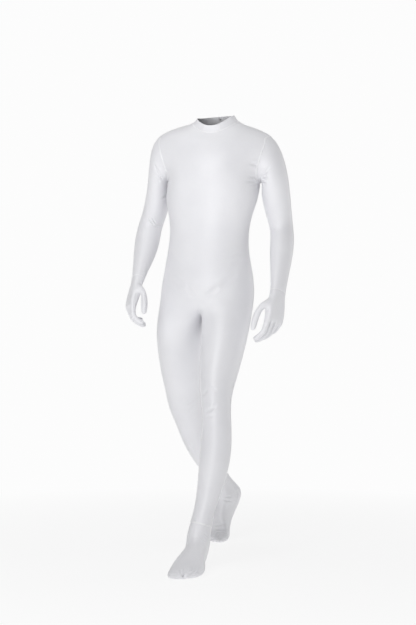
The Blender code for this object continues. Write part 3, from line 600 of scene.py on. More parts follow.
# Camera, floor and room, and the lamps that light the suit
CAMERA_AZIMUTH = 15
CAMERA_LENS = 85
CAMERA_DISTANCE = 5.23
CAMERA_HEIGHT = 0.867
FLOOR_HALF_SIZE = 60
FLOOR_COLOUR = (0.16, 0.16, 0.16)
FLOOR_GLOW = 0.805
ROOM_FRONT = 0.0
ROOM_BACK = 0.7
ROOM_SEEN = 0.975
ROOM_BRIGHT_SIDE = (0.3, 0.95, 0.1)
Lamp = namedtuple("Lamp", "name x y z aim_z wide high power")
LAMPS = (
    Lamp("key", -0.35, -3.3, 2.9, 1.1, 2.0, 2.2, 65),
    Lamp("top", -0.8, -0.5, 4.0, 1.3, 2.4, 1.6, 25),
    Lamp("low_front", 0.1, -3.4, 0.5, 0.0, 1.0, 0.6, 19),
    Lamp("left_rim", -2.4, 1.6, 1.6, 0.9, 0.8, 2.4, 2),
    Lamp("right_rim", 2.2, 1.9, 1.4, 0.9, 0.8, 2.4, 10),
)

# Sewn seams: how wide and high each raised band is, and how far its two stitch rows are from its middle
SeamKind = namedtuple("SeamKind", "name half_width height stitch_off")
SEAM_KINDS = {
    "armhole": SeamKind("armhole", 0.0026, 0.0011, 0.0015),
    "side": SeamKind("side", 0.0022, 0.0008, 0.0013),
    "wrist": SeamKind("wrist", 0.0018, 0.0007, 0.0010),
    "ankle": SeamKind("ankle", 0.0036, 0.0012, 0.0026),
    "neck": SeamKind("neck", 0.0024, 0.0011, 0.0014),
    "insert": SeamKind("insert", 0.0016, 0.0006, 0.0009),
    "back": SeamKind("back", 0.0022, 0.0008, 0.0013),
}

# Creases, each from one place on a limb to another. along counts the limb's rings and turn goes round it in
# degrees from its front, 90 at its outer side. width and depth are in metres.
Crease = namedtuple("Crease", "limb along turn to_along to_turn bow width depth")
TOE_DIPS = (
    (15.05, -44, 16.40, -58, 0.0, 0.0052, 0.0030),
    (15.00, 6, 16.45, -4, 0.0, 0.0046, 0.0026),
    (14.90, 40, 16.40, 48, 0.0, 0.0044, 0.0025),
    (14.70, 60, 16.30, 80, 0.0, 0.0042, 0.0023),
)
CREASES_BY_LIMB = (
    # Sleeves, at the armholes
    ("left_arm", (
        (0.02, -42, 0.25, -8, 0.0, 0.0033, 0.0032),
        (0.12, -50, 0.52, -12, 0.05, 0.0037, 0.0035),
        (0.30, -58, 0.85, -22, 0.05, 0.0040, 0.0029),
        (0.00, -22, 0.12, 6, 0.0, 0.0031, 0.0022),
        (0.15, -120, 0.50, -158, 0.05, 0.0040, 0.0032),
        (0.40, -112, 0.80, -146, 0.05, 0.0037, 0.0025),
        (1.10, -70, 1.70, -40, 0.10, 0.0051, 0.0025),
    )),
    ("right_arm", (
        (0.02, 12, 0.16, -30, 0.0, 0.0035, 0.0028),
        (0.20, 2, 0.38, -42, 0.05, 0.0035, 0.0032),
        (0.48, 0, 0.72, -24, 0.0, 0.0037, 0.0022),
        (0.22, -118, 0.55, -150, 0.05, 0.0040, 0.0032),
        (0.50, -108, 0.95, -140, 0.0, 0.0040, 0.0025),
        (1.30, -66, 1.75, -30, 0.10, 0.0051, 0.0022),
    )),
    # Trunk, beside the armholes
    ("torso", (
        (7.90, 64, 7.74, 78, 0.05, 0.0052, 0.0040),
        (7.24, 68, 7.16, 84, 0.0, 0.0044, 0.0043),
        (7.00, 62, 7.00, 82, 0.04, 0.0044, 0.0039),
        (6.78, 70, 6.84, 86, 0.0, 0.0044, 0.0025),
        (7.30, 102, 7.42, 124, 0.0, 0.0052, 0.0039),
        (6.95, 98, 6.90, 118, 0.05, 0.0052, 0.0030),
        (7.70, -70, 7.50, -84, 0.0, 0.0048, 0.0030),
        (7.20, -68, 7.10, -86, 0.0, 0.0048, 0.0033),
        (7.35, -100, 7.50, -126, 0.0, 0.0052, 0.0036),
        (6.90, -100, 6.80, -120, 0.05, 0.0052, 0.0025),
    )),
    # Elbows
    ("right_arm", (
        (3.35, 6, 4.16, -30, 0.0, 0.0032, 0.0029),
        (3.22, -8, 3.92, -37, 0.0, 0.0030, 0.0023),
        (4.22, -27, 3.76, -64, 0.05, 0.0032, 0.0024),
        (3.50, -60, 3.62, -96, 0.0, 0.0038, 0.0020),
        (3.90, 150, 4.00, 196, 0.1, 0.0045, 0.0014),
    )),
    ("left_arm", (
        (3.84, -44, 4.36, -14, 0.0, 0.0032, 0.0020),
        (3.55, -66, 3.86, -30, 0.05, 0.0036, 0.0018),
        (4.00, -92, 4.24, -58, 0.0, 0.0036, 0.0018),
        (3.80, 148, 3.90, 190, 0.1, 0.0045, 0.0014),
    )),
    # Wrists
    ("left_arm", (
        (7.30, -60, 7.62, -18, 0.0, 0.0038, 0.0010),
        (7.55, 60, 7.40, 108, 0.05, 0.0038, 0.0010),
    )),
    ("right_arm", (
        (7.40, -50, 7.58, -4, 0.0, 0.0038, 0.0010),
        (7.25, 70, 7.50, 118, 0.05, 0.0038, 0.0010),
    )),
    # Where the legs begin, in front and behind
    ("torso", (
        (0.10, 10, 0.92, 32, 0.0, 0.0081, 0.0036),
        (0.10, -10, 0.95, -22, 0.0, 0.0081, 0.0029),
        (0.95, 34, 1.90, 60, 0.05, 0.0126, 0.0036),
        (0.95, -26, 1.85, -56, 0.05, 0.0126, 0.0029),
    )),
    ("left_leg", (
        (0.35, 150, 0.20, 200, 0.10, 0.0081, 0.0028),
    )),
    ("right_leg", (
        (0.30, 148, 0.15, 204, 0.10, 0.0081, 0.0032),
        (0.70, 160, 0.55, 206, 0.05, 0.0072, 0.0018),
    )),
    # Hips and waist
    ("torso", (
        (2.74, 46, 3.12, 71, 0.05, 0.0080, 0.0026),
        (2.40, 52, 2.76, 74, 0.05, 0.0090, 0.0019),
        (2.66, -54, 3.00, -76, 0.05, 0.0090, 0.0016),
        (3.20, 132, 3.32, 164, 0.10, 0.0095, 0.0019),
        (3.60, 140, 3.52, 170, 0.05, 0.0095, 0.0014),
        (3.30, -130, 3.40, -166, 0.10, 0.0095, 0.0020),
        (2.90, -138, 3.00, -164, 0.05, 0.0095, 0.0014),
    )),
    # Knees
    ("left_leg", (
        (3.34, -40, 3.14, -14, 0.0, 0.0049, 0.0021),
        (4.12, -30, 3.80, 18, 0.10, 0.0054, 0.0028),
        (2.98, -14, 3.20, 20, 0.0, 0.0054, 0.0018),
        (4.44, -24, 4.34, 12, 0.05, 0.0049, 0.0015),
        (3.46, 148, 3.50, 206, 0.08, 0.0049, 0.0025),
        (3.84, 156, 3.72, 212, 0.0, 0.0049, 0.0020),
    )),
    ("right_leg", (
        (3.52, -18, 3.40, -62, 0.05, 0.0054, 0.0024),
        (4.00, -10, 3.86, -52, 0.10, 0.0054, 0.0016),
        (3.26, 140, 3.40, 214, 0.06, 0.0049, 0.0036),
        (3.64, 146, 3.58, 218, 0.0, 0.0049, 0.0032),
        (4.00, 156, 3.92, 206, 0.05, 0.0049, 0.0020),
    )),
    # Ankles and insteps
    ("left_leg", (
        (9.80, 8, 10.80, 42, 0.0, 0.0040, 0.0013),
        (9.52, 24, 9.92, 66, 0.05, 0.0040, 0.0016),
        (9.70, -64, 10.30, -28, 0.0, 0.0040, 0.0012),
        (10.40, 70, 11.20, 96, 0.1, 0.0045, 0.0012),
    )),
    ("right_leg", (
        (10.06, -22, 10.68, -62, 0.0, 0.0040, 0.0017),
        (10.50, -16, 11.36, -48, 0.05, 0.0043, 0.0019),
        (10.30, 20, 10.90, 62, 0.05, 0.0043, 0.0017),
        (9.72, -116, 11.80, -72, 0.1, 0.0045, 0.0019),
        (9.80, 118, 11.60, 76, 0.1, 0.0045, 0.0017),
        (13.50, -86, 14.30, 10, 0.1, 0.0040, 0.0019),
        (13.80, -84, 14.80, -30, 0.1, 0.0038, 0.0016),
        (13.20, -70, 13.80, 20, 0.1, 0.0043, 0.0014),
    )),
    # Dips between the toes, over their tips
    ("left_leg", TOE_DIPS),
    ("right_leg", TOE_DIPS),
)
CREASES = [Crease(limb, *row) for limb, rows in CREASES_BY_LIMB for row in rows]

# The fields of what a piece of cloth was cut to, all round where it is a tube: width, length and flat area.
# The suit is worn stretched, so a piece is cut about an eighth smaller than the form it covers.
Cut = namedtuple("Cut", "width length area")
# The piece of cloth that each seam is sewn on
SEAM_CARRIER = {
    "armhole_left": "sleeve_left",
    "armhole_right": "sleeve_right",
    "wrist_left": "glove_left",
    "wrist_right": "glove_right",
    "ankle_left": "foot_left",
    "ankle_right": "foot_right",
    "side_left": "back_left",
    "side_right": "back_right",
    "insert_left": "collar_left",
    "insert_right": "collar_right",
    "neck": "collar_front",
    "back": "back_left",
}

# An arm's creases move only that arm's cloth: the group of each piece and of each limb's creases
PIECE_GROUP = {"sleeve_left": 1, "glove_left": 1, "sleeve_right": 2, "glove_right": 2}
LIMB_GROUP = {"left_arm": 1, "right_arm": 2}
ZIPPED = ("back_left", "back_right", "collar_left", "collar_right")


def array_of(items, field, width, kind=float):
    """A field of a mesh's items as an array."""
    found = np.empty(len(items) * width, dtype=kind)
    items.foreach_get(field, found)
    return found.reshape(-1, width) if width > 1 else found


class Rounded:
    """The rounded suit at one fineness, as arrays."""

    def __init__(self, cage, levels):
        mesh = bpy.data.meshes.new("suit_cage")
        mesh.from_pydata([p - NECK_CENTRE for p in cage.points], [], cage.faces)
        for name in CLOTH_PIECES:
            mesh.materials.append(bpy.data.materials.new("mark_" + name))
        mesh.polygons.foreach_set("material_index", cage.pieces)
        guide = bpy.data.objects.new("suit_cage", mesh)
        bpy.context.scene.collection.objects.link(guide)
        divide = guide.modifiers.new("round", "SUBSURF")
        divide.levels = divide.render_levels = levels
        graph = bpy.context.evaluated_depsgraph_get()
        surface = bpy.data.meshes.new_from_object(guide.evaluated_get(graph))
        self.points = array_of(surface.vertices, "co", 3)
        self.normals = array_of(surface.vertex_normals, "vector", 3)
        self.quads = array_of(surface.loops, "vertex_index", 1, np.int32).reshape(-1, 4)
        self.pieces = array_of(surface.polygons, "material_index", 1, np.int32)
        self.shaped = self.points.copy()
        self.inside = self.points - self.normals * SHELL
        groups = np.array([PIECE_GROUP.get(name, 0) for name in CLOTH_PIECES])
        self.in_group = np.zeros((3, len(self.points)), bool)
        for group in range(3):
            self.in_group[group, self.quads[groups[self.pieces] == group].ravel()] = True
        bpy.data.objects.remove(guide)
        for old in (mesh, surface):
            bpy.data.meshes.remove(old)
        for name in CLOTH_PIECES:
            bpy.data.materials.remove(bpy.data.materials["mark_" + name])


Station = namedtuple("Station", "centre ahead outer")


def limb_stations():
    """Each limb's middle line, ring by ring, with its forward and its outward direction."""
    forward = Vector((0, -1, 0))
    found = {"torso": [
        Station(Vector((row.mid_x, (row.front_y + row.back_y) / 2, row.side_z)), forward, Vector((1, 0, 0)))
        for row in TORSO
    ]}
    sides = (
        ("left", 1, LEFT_ARM, LEFT_HAND, LEFT_LEG, LEFT_FOOT),
        ("right", -1, RIGHT_ARM, RIGHT_HAND, RIGHT_LEG, RIGHT_FOOT),
    )
    for name, side, arm, hand, leg, foot in sides:
        line = []
        for row in arm:
            _, outward, front = arm_frame(side, row.spread, row.swing, row.twist)
            line.append(Station(Vector((row.x, row.y, row.z)), front, outward))
        along, dorsal, thumbward = arm_frame(side, hand.spread, hand.swing, hand.twist)
        line += [Station(line[-1].centre + along * row.along, thumbward, dorsal) for row in PALM[:2]]
        found[name + "_arm"] = line
        centres = [Vector((r.x, r.y, r.z)) for r in leg]
        line = []
        for place, centre in enumerate(centres):
            last = centres[max(0, place - 1)]
            after = centres[min(len(centres) - 1, place + 1)]
            ahead, inward = ring_axes((after - last).normalized(), forward)
            line.append(Station(centre, ahead, inward * -side))
        for ring in foot_rings(side, foot):
            centre = sum(ring, Vector()) / LIMB_POINTS
            ahead = (ring[1] + ring[2]) / 2 - centre
            line.append(Station(centre, ahead.normalized(), (ring[OUTSEAM] - centre).normalized()))
        found[name + "_leg"] = line
    for line in found.values():
        line[:] = [station._replace(centre=station.centre - NECK_CENTRE) for station in line]
    return found


def place_on(line, along, turn, tree):
    """The point of the suit's surface at a place along a limb and a turn round it. Past the last station the
    line bends over the limb's tip."""
    beyond = max(0, along - (len(line) - 1))
    first = min(int(along), len(line) - 2)
    share = min(along - first, 1)
    low, high = line[first], line[first + 1]
    centre = low.centre.lerp(high.centre, share)
    ahead = low.ahead.lerp(high.ahead, share)
    outer = low.outer.lerp(high.outer, share)
    direction = (ahead * cos(radians(turn)) + outer * sin(radians(turn))).normalized()
    tip = (high.centre - low.centre).normalized()
    direction = direction * cos(beyond * pi / 2) + tip * sin(beyond * pi / 2)
    hit = tree.ray_cast(centre, direction)[0]
    return hit if hit is not None else centre


def crease_line(crease, limbs, tree):
    """The crease's own line over the surface."""
    points = []
    for step in range(CREASE_STEPS + 1):
        share = step / CREASE_STEPS
        along = crease.along + (crease.to_along - crease.along) * share + crease.bow * sin(pi * share)
        turn = crease.turn + (crease.to_turn - crease.turn) * share
        points.append(place_on(limbs[crease.limb], along, turn, tree))
    return np.array([tuple(p) for p in points])


def nearest_on(line, points):
    """Each point's distance from a line, and the share of the line's length at the nearest place."""
    best = np.full(len(points), 1e9)
    share = np.zeros(len(points))
    count = len(line) - 1
    for k in range(count):
        start, span = line[k], line[k + 1] - line[k]
        t = np.clip((points - start) @ span / max(span @ span, 1e-12), 0, 1)
        distance = np.linalg.norm(points - start - t[:, None] * span, axis=1)
        nearer = distance < best
        best[nearer] = distance[nearer]
        share[nearer] = (k + t[nearer]) / count
    return best, share


def crease_heights(body, lines, troughs_only=False):
    """How far the creases move each point out, or only how deep their troughs reach round it."""
    height = np.zeros(len(body.points))
    for crease, line in lines:
        width = crease.width * (INNER_WIDER if troughs_only else 1.0)
        reach = CREASE_REACH * width
        close = (body.points > line.min(0) - reach) & (body.points < line.max(0) + reach)
        near = body.in_group[LIMB_GROUP.get(crease.limb, 0)] & close.all(1)
        distance, share = nearest_on(line, body.points[near])
        ratio = distance / width
        profile = -np.exp(-ratio ** 2)
        if not troughs_only:
            profile += RIDGE_HEIGHT * np.exp(-((ratio - RIDGE_AT) / RIDGE_SPREAD) ** 2)
        height[near] += crease.depth * np.sin(pi * share) ** CREASE_ENDS * profile
    return height


def read_line(values, along, lengths):
    """A line's values, given at its points' lengths along it, read at other lengths."""
    return np.stack([np.interp(lengths, along, values[:, k]) for k in range(3)], -1)


class ZipLine:
    """The middle of the back from the zip's lower end to the collar's top, read by height or by length."""

    def __init__(self, body):
        halves = []
        for names in (("back_left", "collar_left"), ("back_right", "collar_right")):
            marks = [CLOTH_PIECES.index(name) for name in names]
            halves.append(set(body.quads[np.isin(body.pieces, marks)].ravel().tolist()))
        line = np.array(sorted(halves[0] & halves[1], key=lambda v: body.points[v][2]))
        line = line[body.points[line][:, 1] > 0]
        self.points = body.points[line]
        normals = body.normals[line] * (0, 1, 1)
        self.normals = normals / np.linalg.norm(normals, axis=1)[:, None]
        steps = np.linalg.norm(np.diff(self.points, axis=0), axis=1)
        self.length = np.concatenate([[0], np.cumsum(steps)])
        self.bottom = np.interp(ZIP_BOTTOM_Z - NECK_CENTRE.z, self.points[:, 2], self.length)
        self.top = self.length[-1] - ZIP_TOP_DROP

    def at(self, lengths):
        """Points at some lengths along the zip, and the ways across it, up it and out of the cloth there."""
        point = read_line(self.points, self.length, lengths)
        out = read_line(self.normals, self.length, lengths)
        ahead = read_line(self.points, self.length, lengths + ZIP_REACH)
        up = ahead - read_line(self.points, self.length, lengths - ZIP_REACH)
        up /= np.linalg.norm(up, axis=1)[:, None]
        out -= up * (out * up).sum(1)[:, None]
        out /= np.linalg.norm(out, axis=1)[:, None]
        return point, np.cross(up, out), up, out

    def draw_aside(self, points, side):
        """Moves points of one half of the back aside, which leaves room for the zip between the halves."""
        middle_x = np.interp(points[:, 2], self.points[:, 2], self.points[:, 0])
        middle_y = np.interp(points[:, 2], self.points[:, 2], self.points[:, 1])
        aside = points[:, 0] - middle_x
        fade = np.clip((points[:, 2] - ZIP_BOTTOM_Z + NECK_CENTRE.z) / ZIP_FADE, 0, 1)
        inset = (ZIP_HALF_WIDTH + SEAM_GAP) * fade
        near = (np.abs(aside) < ZIP_EASE) & (points[:, 1] > middle_y - ZIP_DEPTH) & (fade > 0)
        away = np.abs(aside[near])
        moved = inset[near] + away * (ZIP_EASE - inset[near]) / ZIP_EASE
        points[near, 0] += side * moved - aside[near]


def link(name, points, faces, material, smooth=True):
    """A new object from points and faces."""
    mesh = bpy.data.meshes.new(name)
    mesh.from_pydata([tuple(p) for p in points], [], faces)
    mesh.materials.append(material)
    if smooth:
        mesh.shade_smooth()
    piece = bpy.data.objects.new(name, mesh)
    bpy.context.scene.collection.objects.link(piece)
    return piece


def border(quads):
    """The directed edges that only one face has."""
    edges = np.concatenate([quads[:, [k, (k + 1) % 4]] for k in range(4)])
    top = int(edges.max()) + 1
    forward = edges[:, 0].astype(np.int64) * top + edges[:, 1]
    backward = edges[:, 1].astype(np.int64) * top + edges[:, 0]
    return edges[~np.isin(forward, backward)]


def shell(name, fine, coarse, zip_line, material):
    """One sewn piece as a thin closed shell: fine outside, coarser inside, joined round its rim."""
    number = CLOTH_PIECES.index(name)
    side = 1 if name.endswith("left") else -1
    outer_quads = fine.quads[fine.pieces == number]
    inner_quads = coarse.quads[coarse.pieces == number]
    used, outer_faces = np.unique(outer_quads, return_inverse=True)
    outer_faces = outer_faces.reshape(-1, 4)
    used_in, inner_faces = np.unique(inner_quads, return_inverse=True)
    inner_faces = inner_faces.reshape(-1, 4)
    outer = fine.shaped[used]
    inner = coarse.inside[used_in]
    if name in ZIPPED:
        for points in (outer, inner):
            zip_line.draw_aside(points, side)
    count = len(outer)
    tree = KDTree(count)
    rim = border(outer_faces)
    following = {}
    for a, b in rim.tolist():
        following.setdefault(a, []).append(b)
    for v in following:
        tree.insert(fine.points[used[v]], v)
    tree.balance()
    faces = outer_faces.tolist() + (inner_faces[:, ::-1] + count).tolist()
    for a, b in border(inner_faces).tolist():
        start = tree.find(coarse.points[used_in[a]])[1]
        end = tree.find(coarse.points[used_in[b]])[1]
        target = fine.points[used[end]]
        chain = [start]
        while chain[-1] != end and len(chain) < RIM_STEPS:
            choice = following[chain[-1]]
            chain.append(min(choice, key=lambda v: np.linalg.norm(fine.points[used[v]] - target)))
        faces.append(tuple(reversed(chain)) + (a + count, b + count))
    piece = link("suit_" + name, np.vstack([outer, inner]), faces, material)
    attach(piece, "suit")
    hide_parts(name)
    return piece


def seam_name(first, second):
    """The seam between two pieces, or None on the zip."""
    names = {first, second}
    kinds = {name.rsplit("_", 1)[0] for name in names}
    side = next((name.rsplit("_", 1)[1] for name in sorted(names) if name.endswith(("left", "right"))), "")
    if "sleeve" in kinds and "glove" in kinds:
        return "wrist_" + side
    if "sleeve" in kinds:
        return "armhole_" + next(n for n in names if n.startswith("sleeve")).rsplit("_", 1)[1]
    if "foot" in kinds:
        return "ankle_" + next(n for n in names if n.startswith("foot")).rsplit("_", 1)[1]
    if kinds == {"collar"}:
        return "insert_" + side if "collar_front" in names else "back"
    if "collar" in kinds:
        return "neck"
    if "front" in names:
        return "side_" + side
    return "back"


def seam_chains(body, zip_line):
    """Every seam as chains of vertices of the fine mesh."""
    edges = np.concatenate([body.quads[:, [k, (k + 1) % 4]] for k in range(4)])
    pieces = np.tile(body.pieces, 4)
    low, high = edges.min(1).astype(np.int64), edges.max(1).astype(np.int64)
    key = low * len(body.points) + high
    order = np.argsort(key, kind="stable")
    key, edges, pieces = key[order], edges[order], pieces[order]
    twin = np.nonzero((key[1:] == key[:-1]) & (pieces[1:] != pieces[:-1]))[0]
    seams = {}
    for k in twin.tolist():
        name = seam_name(CLOTH_PIECES[pieces[k]], CLOTH_PIECES[pieces[k + 1]])
        a, b = edges[k].tolist()
        middle = (body.points[a] + body.points[b]) / 2
        if name == "back" and middle[2] > ZIP_BOTTOM_Z - NECK_CENTRE.z:
            continue
        aside = abs(middle[0] - np.interp(middle[2], zip_line.points[:, 2], zip_line.points[:, 0]))
        if name == "neck" and middle[1] > 0 and aside < ZIP_CLEAR:
            continue
        seams.setdefault(name, []).append((a, b))
    return {name: walked(pairs) for name, pairs in seams.items()}


def walked(pairs):
    """Edges put end to end, as chains. A closed one ends where it starts."""
    beside = {}
    for a, b in pairs:
        beside.setdefault(a, []).append(b)
        beside.setdefault(b, []).append(a)
    left = {frozenset(pair) for pair in pairs}
    chains = []
    while left:
        ends = [v for v, others in beside.items() if sum(frozenset((v, o)) in left for o in others) % 2 == 1]
        here = min(ends) if ends else min(min(pair) for pair in left)
        chain = [here]
        while True:
            after = [o for o in beside[here] if frozenset((here, o)) in left]
            if not after:
                break
            left.discard(frozenset((here, after[0])))
            here = after[0]
            chain.append(here)
        chains.append(chain)
    return chains


class Track:
    """A smooth line on the cloth with its directions: along it, across it and out of the cloth."""

    def __init__(self, points, outs, closed):
        self.closed = closed
        steps = np.linalg.norm(np.diff(points, axis=0), axis=1)
        self.length = np.concatenate([[0], np.cumsum(steps)])
        self.points = points
        self.outs = outs

    def read(self, values, lengths):
        return read_line(values, self.length, lengths % self.length[-1] if self.closed else lengths)

    def at(self, lengths):
        """Points of the line at some lengths along it, and its directions there."""
        point = self.read(self.points, lengths)
        out = self.read(self.outs, lengths)
        along = self.read(self.points, lengths + TRACK_REACH) - self.read(self.points, lengths - TRACK_REACH)
        along /= np.linalg.norm(along, axis=1)[:, None] + 1e-12
        out -= along * (out * along).sum(1)[:, None]
        out /= np.linalg.norm(out, axis=1)[:, None] + 1e-12
        return point, along, np.cross(along, out), out


BAND_SHAPE = ((-1.0, -0.5), (-0.85, 0.35), (-0.5, 0.85), (0.0, 1.0), (0.5, 0.85), (0.85, 0.35), (1.0, -0.5))


def tube_faces(rows, wide, closed=False):
    """The faces of rows of points, each row a loop. Unless closed, the first and last rows are filled."""
    faces = []
    for row in range(rows if closed else rows - 1):
        low, high = row * wide, (row + 1) % rows * wide
        faces += [(low + k, low + (k + 1) % wide, high + (k + 1) % wide, high + k) for k in range(wide)]
    if not closed:
        faces += [tuple(range(wide - 1, -1, -1)), tuple((rows - 1) * wide + k for k in range(wide))]
    return faces


def band_mesh(track, half_width, height):
    """A rounded band along a track: its points and faces."""
    whole = track.length[-1]
    lengths = np.linspace(0, whole, max(3, int(whole / BAND_STEP)) + 1)
    if track.closed:
        lengths = lengths[:-1]
    point, _, across, out = track.at(lengths)
    rings = [point + across * (aside * half_width) + out * (up * height) for aside, up in BAND_SHAPE]
    points = np.stack(rings, 1)
    return points.reshape(-1, 3), tube_faces(*points.shape[:2], track.closed)


def copies(places, axes, shape):
    """A small shape's points at each of some places, turned to the axes there."""
    points = places[:, None]
    for k, axis in enumerate(axes):
        points = points + axis[:, None] * shape[:, k, None]
    return points


def stitch_points(track, offset, lift):
    """A row of short thread stitches: for each, twelve points."""
    lengths = np.arange(STITCH_PITCH / 2, track.length[-1] - STITCH_PITCH / 3, STITCH_PITCH)
    point, along, across, out = track.at(lengths)
    shape = []
    for ahead, size, rise in ((-0.5, 0.5, -0.9), (0.0, 1.0, 0.3), (0.5, 0.5, -0.9)):
        for side, top in ((-1, -1), (1, -1), (1, 1), (-1, 1)):
            aside = offset + side * size * STITCH_RADIUS * STITCH_FLAT
            over = lift + (top * size * STITCH_FLAT + rise) * STITCH_RADIUS
            shape.append((ahead * STITCH_LENGTH, aside, over))
    return copies(point, (along, across, out), np.array(shape))


# A small block of twelve points: its lower, middle and upper squares
BLOCK_CORNERS = np.array((
    (-1, -1, -1), (1, -1, -1), (1, 1, -1), (-1, 1, -1),
    (-1, -1, 0.4), (1, -1, 0.4), (1, 1, 0.4), (-1, 1, 0.4),
    (-0.72, -0.6, 1), (0.72, -0.6, 1), (0.72, 0.6, 1), (-0.72, 0.6, 1),
))
BLOCK_FACES = np.array(
    [(3, 2, 1, 0), (8, 9, 10, 11)]
    + [(r + k, r + (k + 1) % 4, r + 4 + (k + 1) % 4, r + 4 + k) for r in (0, 4) for k in range(4)]
)


def block_faces(count):
    """The faces of a row of blocks."""
    return (BLOCK_FACES[None] + len(BLOCK_CORNERS) * np.arange(count)[:, None, None]).reshape(-1, 4).tolist()


def blocks(centres, axes, halves):
    """A row of small blocks with chamfered outer edges."""
    points = copies(centres, axes, BLOCK_CORNERS * halves)
    return points.reshape(-1, 3), block_faces(len(centres))


def joined(parts):
    """Several points and faces lists as one."""
    points, faces, count = [], [], 0
    for some, these in parts:
        points.append(np.asarray(some))
        faces += [tuple(v + count for v in face) for face in these]
        count += len(some)
    return np.vstack(points), faces


def dressed(piece):
    """The piece, once it moves with the suit."""
    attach(piece, "suit")
    return piece


def fill(made, inputs):
    """Gives a node's inputs their values, or the outputs that feed them, by name or number."""
    for name, value in inputs.items():
        if isinstance(value, bpy.types.NodeSocket):
            made.id_data.links.new(value, made.inputs[name])
        else:
            made.inputs[name].default_value = value
    return made


def node(tree, kind, inputs, **settings):
    """A new node with its settings and inputs."""
    made = tree.nodes.new(kind)
    for name, value in settings.items():
        setattr(made, name, value)
    return fill(made, inputs)


def new_material(name):
    """A new material, its nodes, its shader and the output that says where on the object a point is."""
    material = bpy.data.materials.new(name)
    material.use_nodes = True
    tree = material.node_tree
    place = node(tree, "ShaderNodeTexCoord", {}).outputs["Object"]
    return material, tree, tree.nodes["Principled BSDF"], place


def noise(tree, place, scale, detail, roughness=0.5):
    inputs = {"Vector": place, "Scale": scale, "Detail": detail, "Roughness": roughness}
    return node(tree, "ShaderNodeTexNoise", inputs).outputs["Fac"]


def toned(tree, share, dark, light, low=0.0, high=1.0):
    """A colour from dark to light by a share."""
    tone = node(tree, "ShaderNodeValToRGB", {"Fac": share})
    for stop, position, colour in zip(tone.color_ramp.elements, (low, high), (dark, light)):
        stop.position = position
        stop.color = (*colour, 1)
    return tone.outputs["Color"]


def knit_material(name, colour, shade, roughness, wale, bump):
    """Fine stretch knit: rows of small loops in relief, a little uneven in tone and gloss."""
    material, tree, shader, place = new_material(name)
    # Tone: large soft patches where the cloth is stretched more or less, and a faint marl of the yarn
    stretch = noise(tree, place, 7.0, 3.0)
    marl = noise(tree, place, 420.0, 2.0, 0.6)
    blend = node(tree, "ShaderNodeMix", {0: 0.35, 2: stretch, 3: marl}, data_type="FLOAT")
    # Gloss: smoother where the cloth is drawn tight
    gloss = node(tree, "ShaderNodeMapRange", {
        "Value": stretch, "From Min": 0.3, "From Max": 0.7,
        "To Min": roughness - 0.05, "To Max": roughness + 0.06,
    })
    # Relief: slanting rows one way and the other make the small V loops of a knit, with upright wales
    loops = []
    for lean in (1, -1):
        tilt = (0, lean * radians(32), lean * radians(14))
        turn = node(tree, "ShaderNodeMapping", {"Vector": place, "Rotation": tilt})
        waves = {"Vector": turn.outputs["Vector"], "Scale": 0.314 / wale, "Distortion": 0.6, "Detail": 1.0}
        rows = node(tree, "ShaderNodeTexWave", waves, wave_type="BANDS", bands_direction="Z")
        loops.append(rows.outputs["Fac"])
    both = node(tree, "ShaderNodeMath", {0: loops[0], 1: loops[1]}, operation="MULTIPLY")
    knit = node(tree, "ShaderNodeBump", {
        "Height": both.outputs["Value"], "Strength": bump, "Distance": 0.00012,
    })
    soft = node(tree, "ShaderNodeBump", {
        "Height": noise(tree, place, 38.0, 2.0), "Normal": knit.outputs["Normal"], "Strength": 0.10,
        "Distance": 0.0012,
    })
    fill(shader, {
        "Base Color": toned(tree, blend.outputs[0], shade, colour, 0.32, 0.68),
        "Roughness": gloss.outputs["Result"], "Normal": soft.outputs["Normal"],
        "Sheen Weight": 0.12, "Sheen Roughness": 0.4, "Coat Weight": 0.18, "Coat Roughness": 0.30,
        "Specular IOR Level": 0.5,
    })
    return material


def yarn_material():
    """Twisted sewing thread."""
    material, tree, shader, place = new_material("sewing_thread")
    twist = noise(tree, place, 1500.0, 1.0)
    relief = node(tree, "ShaderNodeBump", {"Height": twist, "Strength": 0.2, "Distance": 0.0001})
    fill(shader, {
        "Base Color": toned(tree, twist, (0.84, 0.84, 0.86), (0.93, 0.93, 0.95)), "Roughness": 0.5,
        "Normal": relief.outputs["Normal"],
    })
    return material


def plain_surface(name, colour, roughness, metallic, grain, relief):
    """Moulded nylon or plated metal, with a fine grain in its gloss."""
    material, tree, shader, place = new_material(name)
    specks = noise(tree, place, grain, 3.0)
    gloss = node(tree, "ShaderNodeMapRange", {
        "Value": specks, "To Min": roughness - 0.06, "To Max": roughness + 0.06,
    })
    bump = node(tree, "ShaderNodeBump", {"Height": specks, "Strength": relief, "Distance": 0.0001})
    fill(shader, {
        "Base Color": toned(tree, specks, [c * 0.93 for c in colour], colour), "Metallic": metallic,
        "Roughness": gloss.outputs["Result"], "Normal": bump.outputs["Normal"],
    })
    return material


def build_seams(fine, zip_line, banding):
    """The raised bands of every seam, by the piece that carries them, and the stitch rows on them."""
    stitches = []
    bands = {}
    for name, chains in seam_chains(fine, zip_line).items():
        kind = SEAM_KINDS[name.split("_")[0]]
        parts = []
        for chain in chains:
            if len(chain) < SHORTEST_SEAM:
                continue
            closed = chain[0] == chain[-1]
            track = Track(fine.shaped[chain], fine.normals[chain], closed)
            parts.append(band_mesh(track, kind.half_width, kind.height))
            for side in (-1, 1):
                stitches.append(stitch_points(track, side * kind.stitch_off, kind.height * 0.95))
        if parts:
            band = dressed(link("seam_" + name, *joined(parts), banding))
            bands.setdefault(SEAM_CARRIER[name], []).append(band)
    return stitches, bands


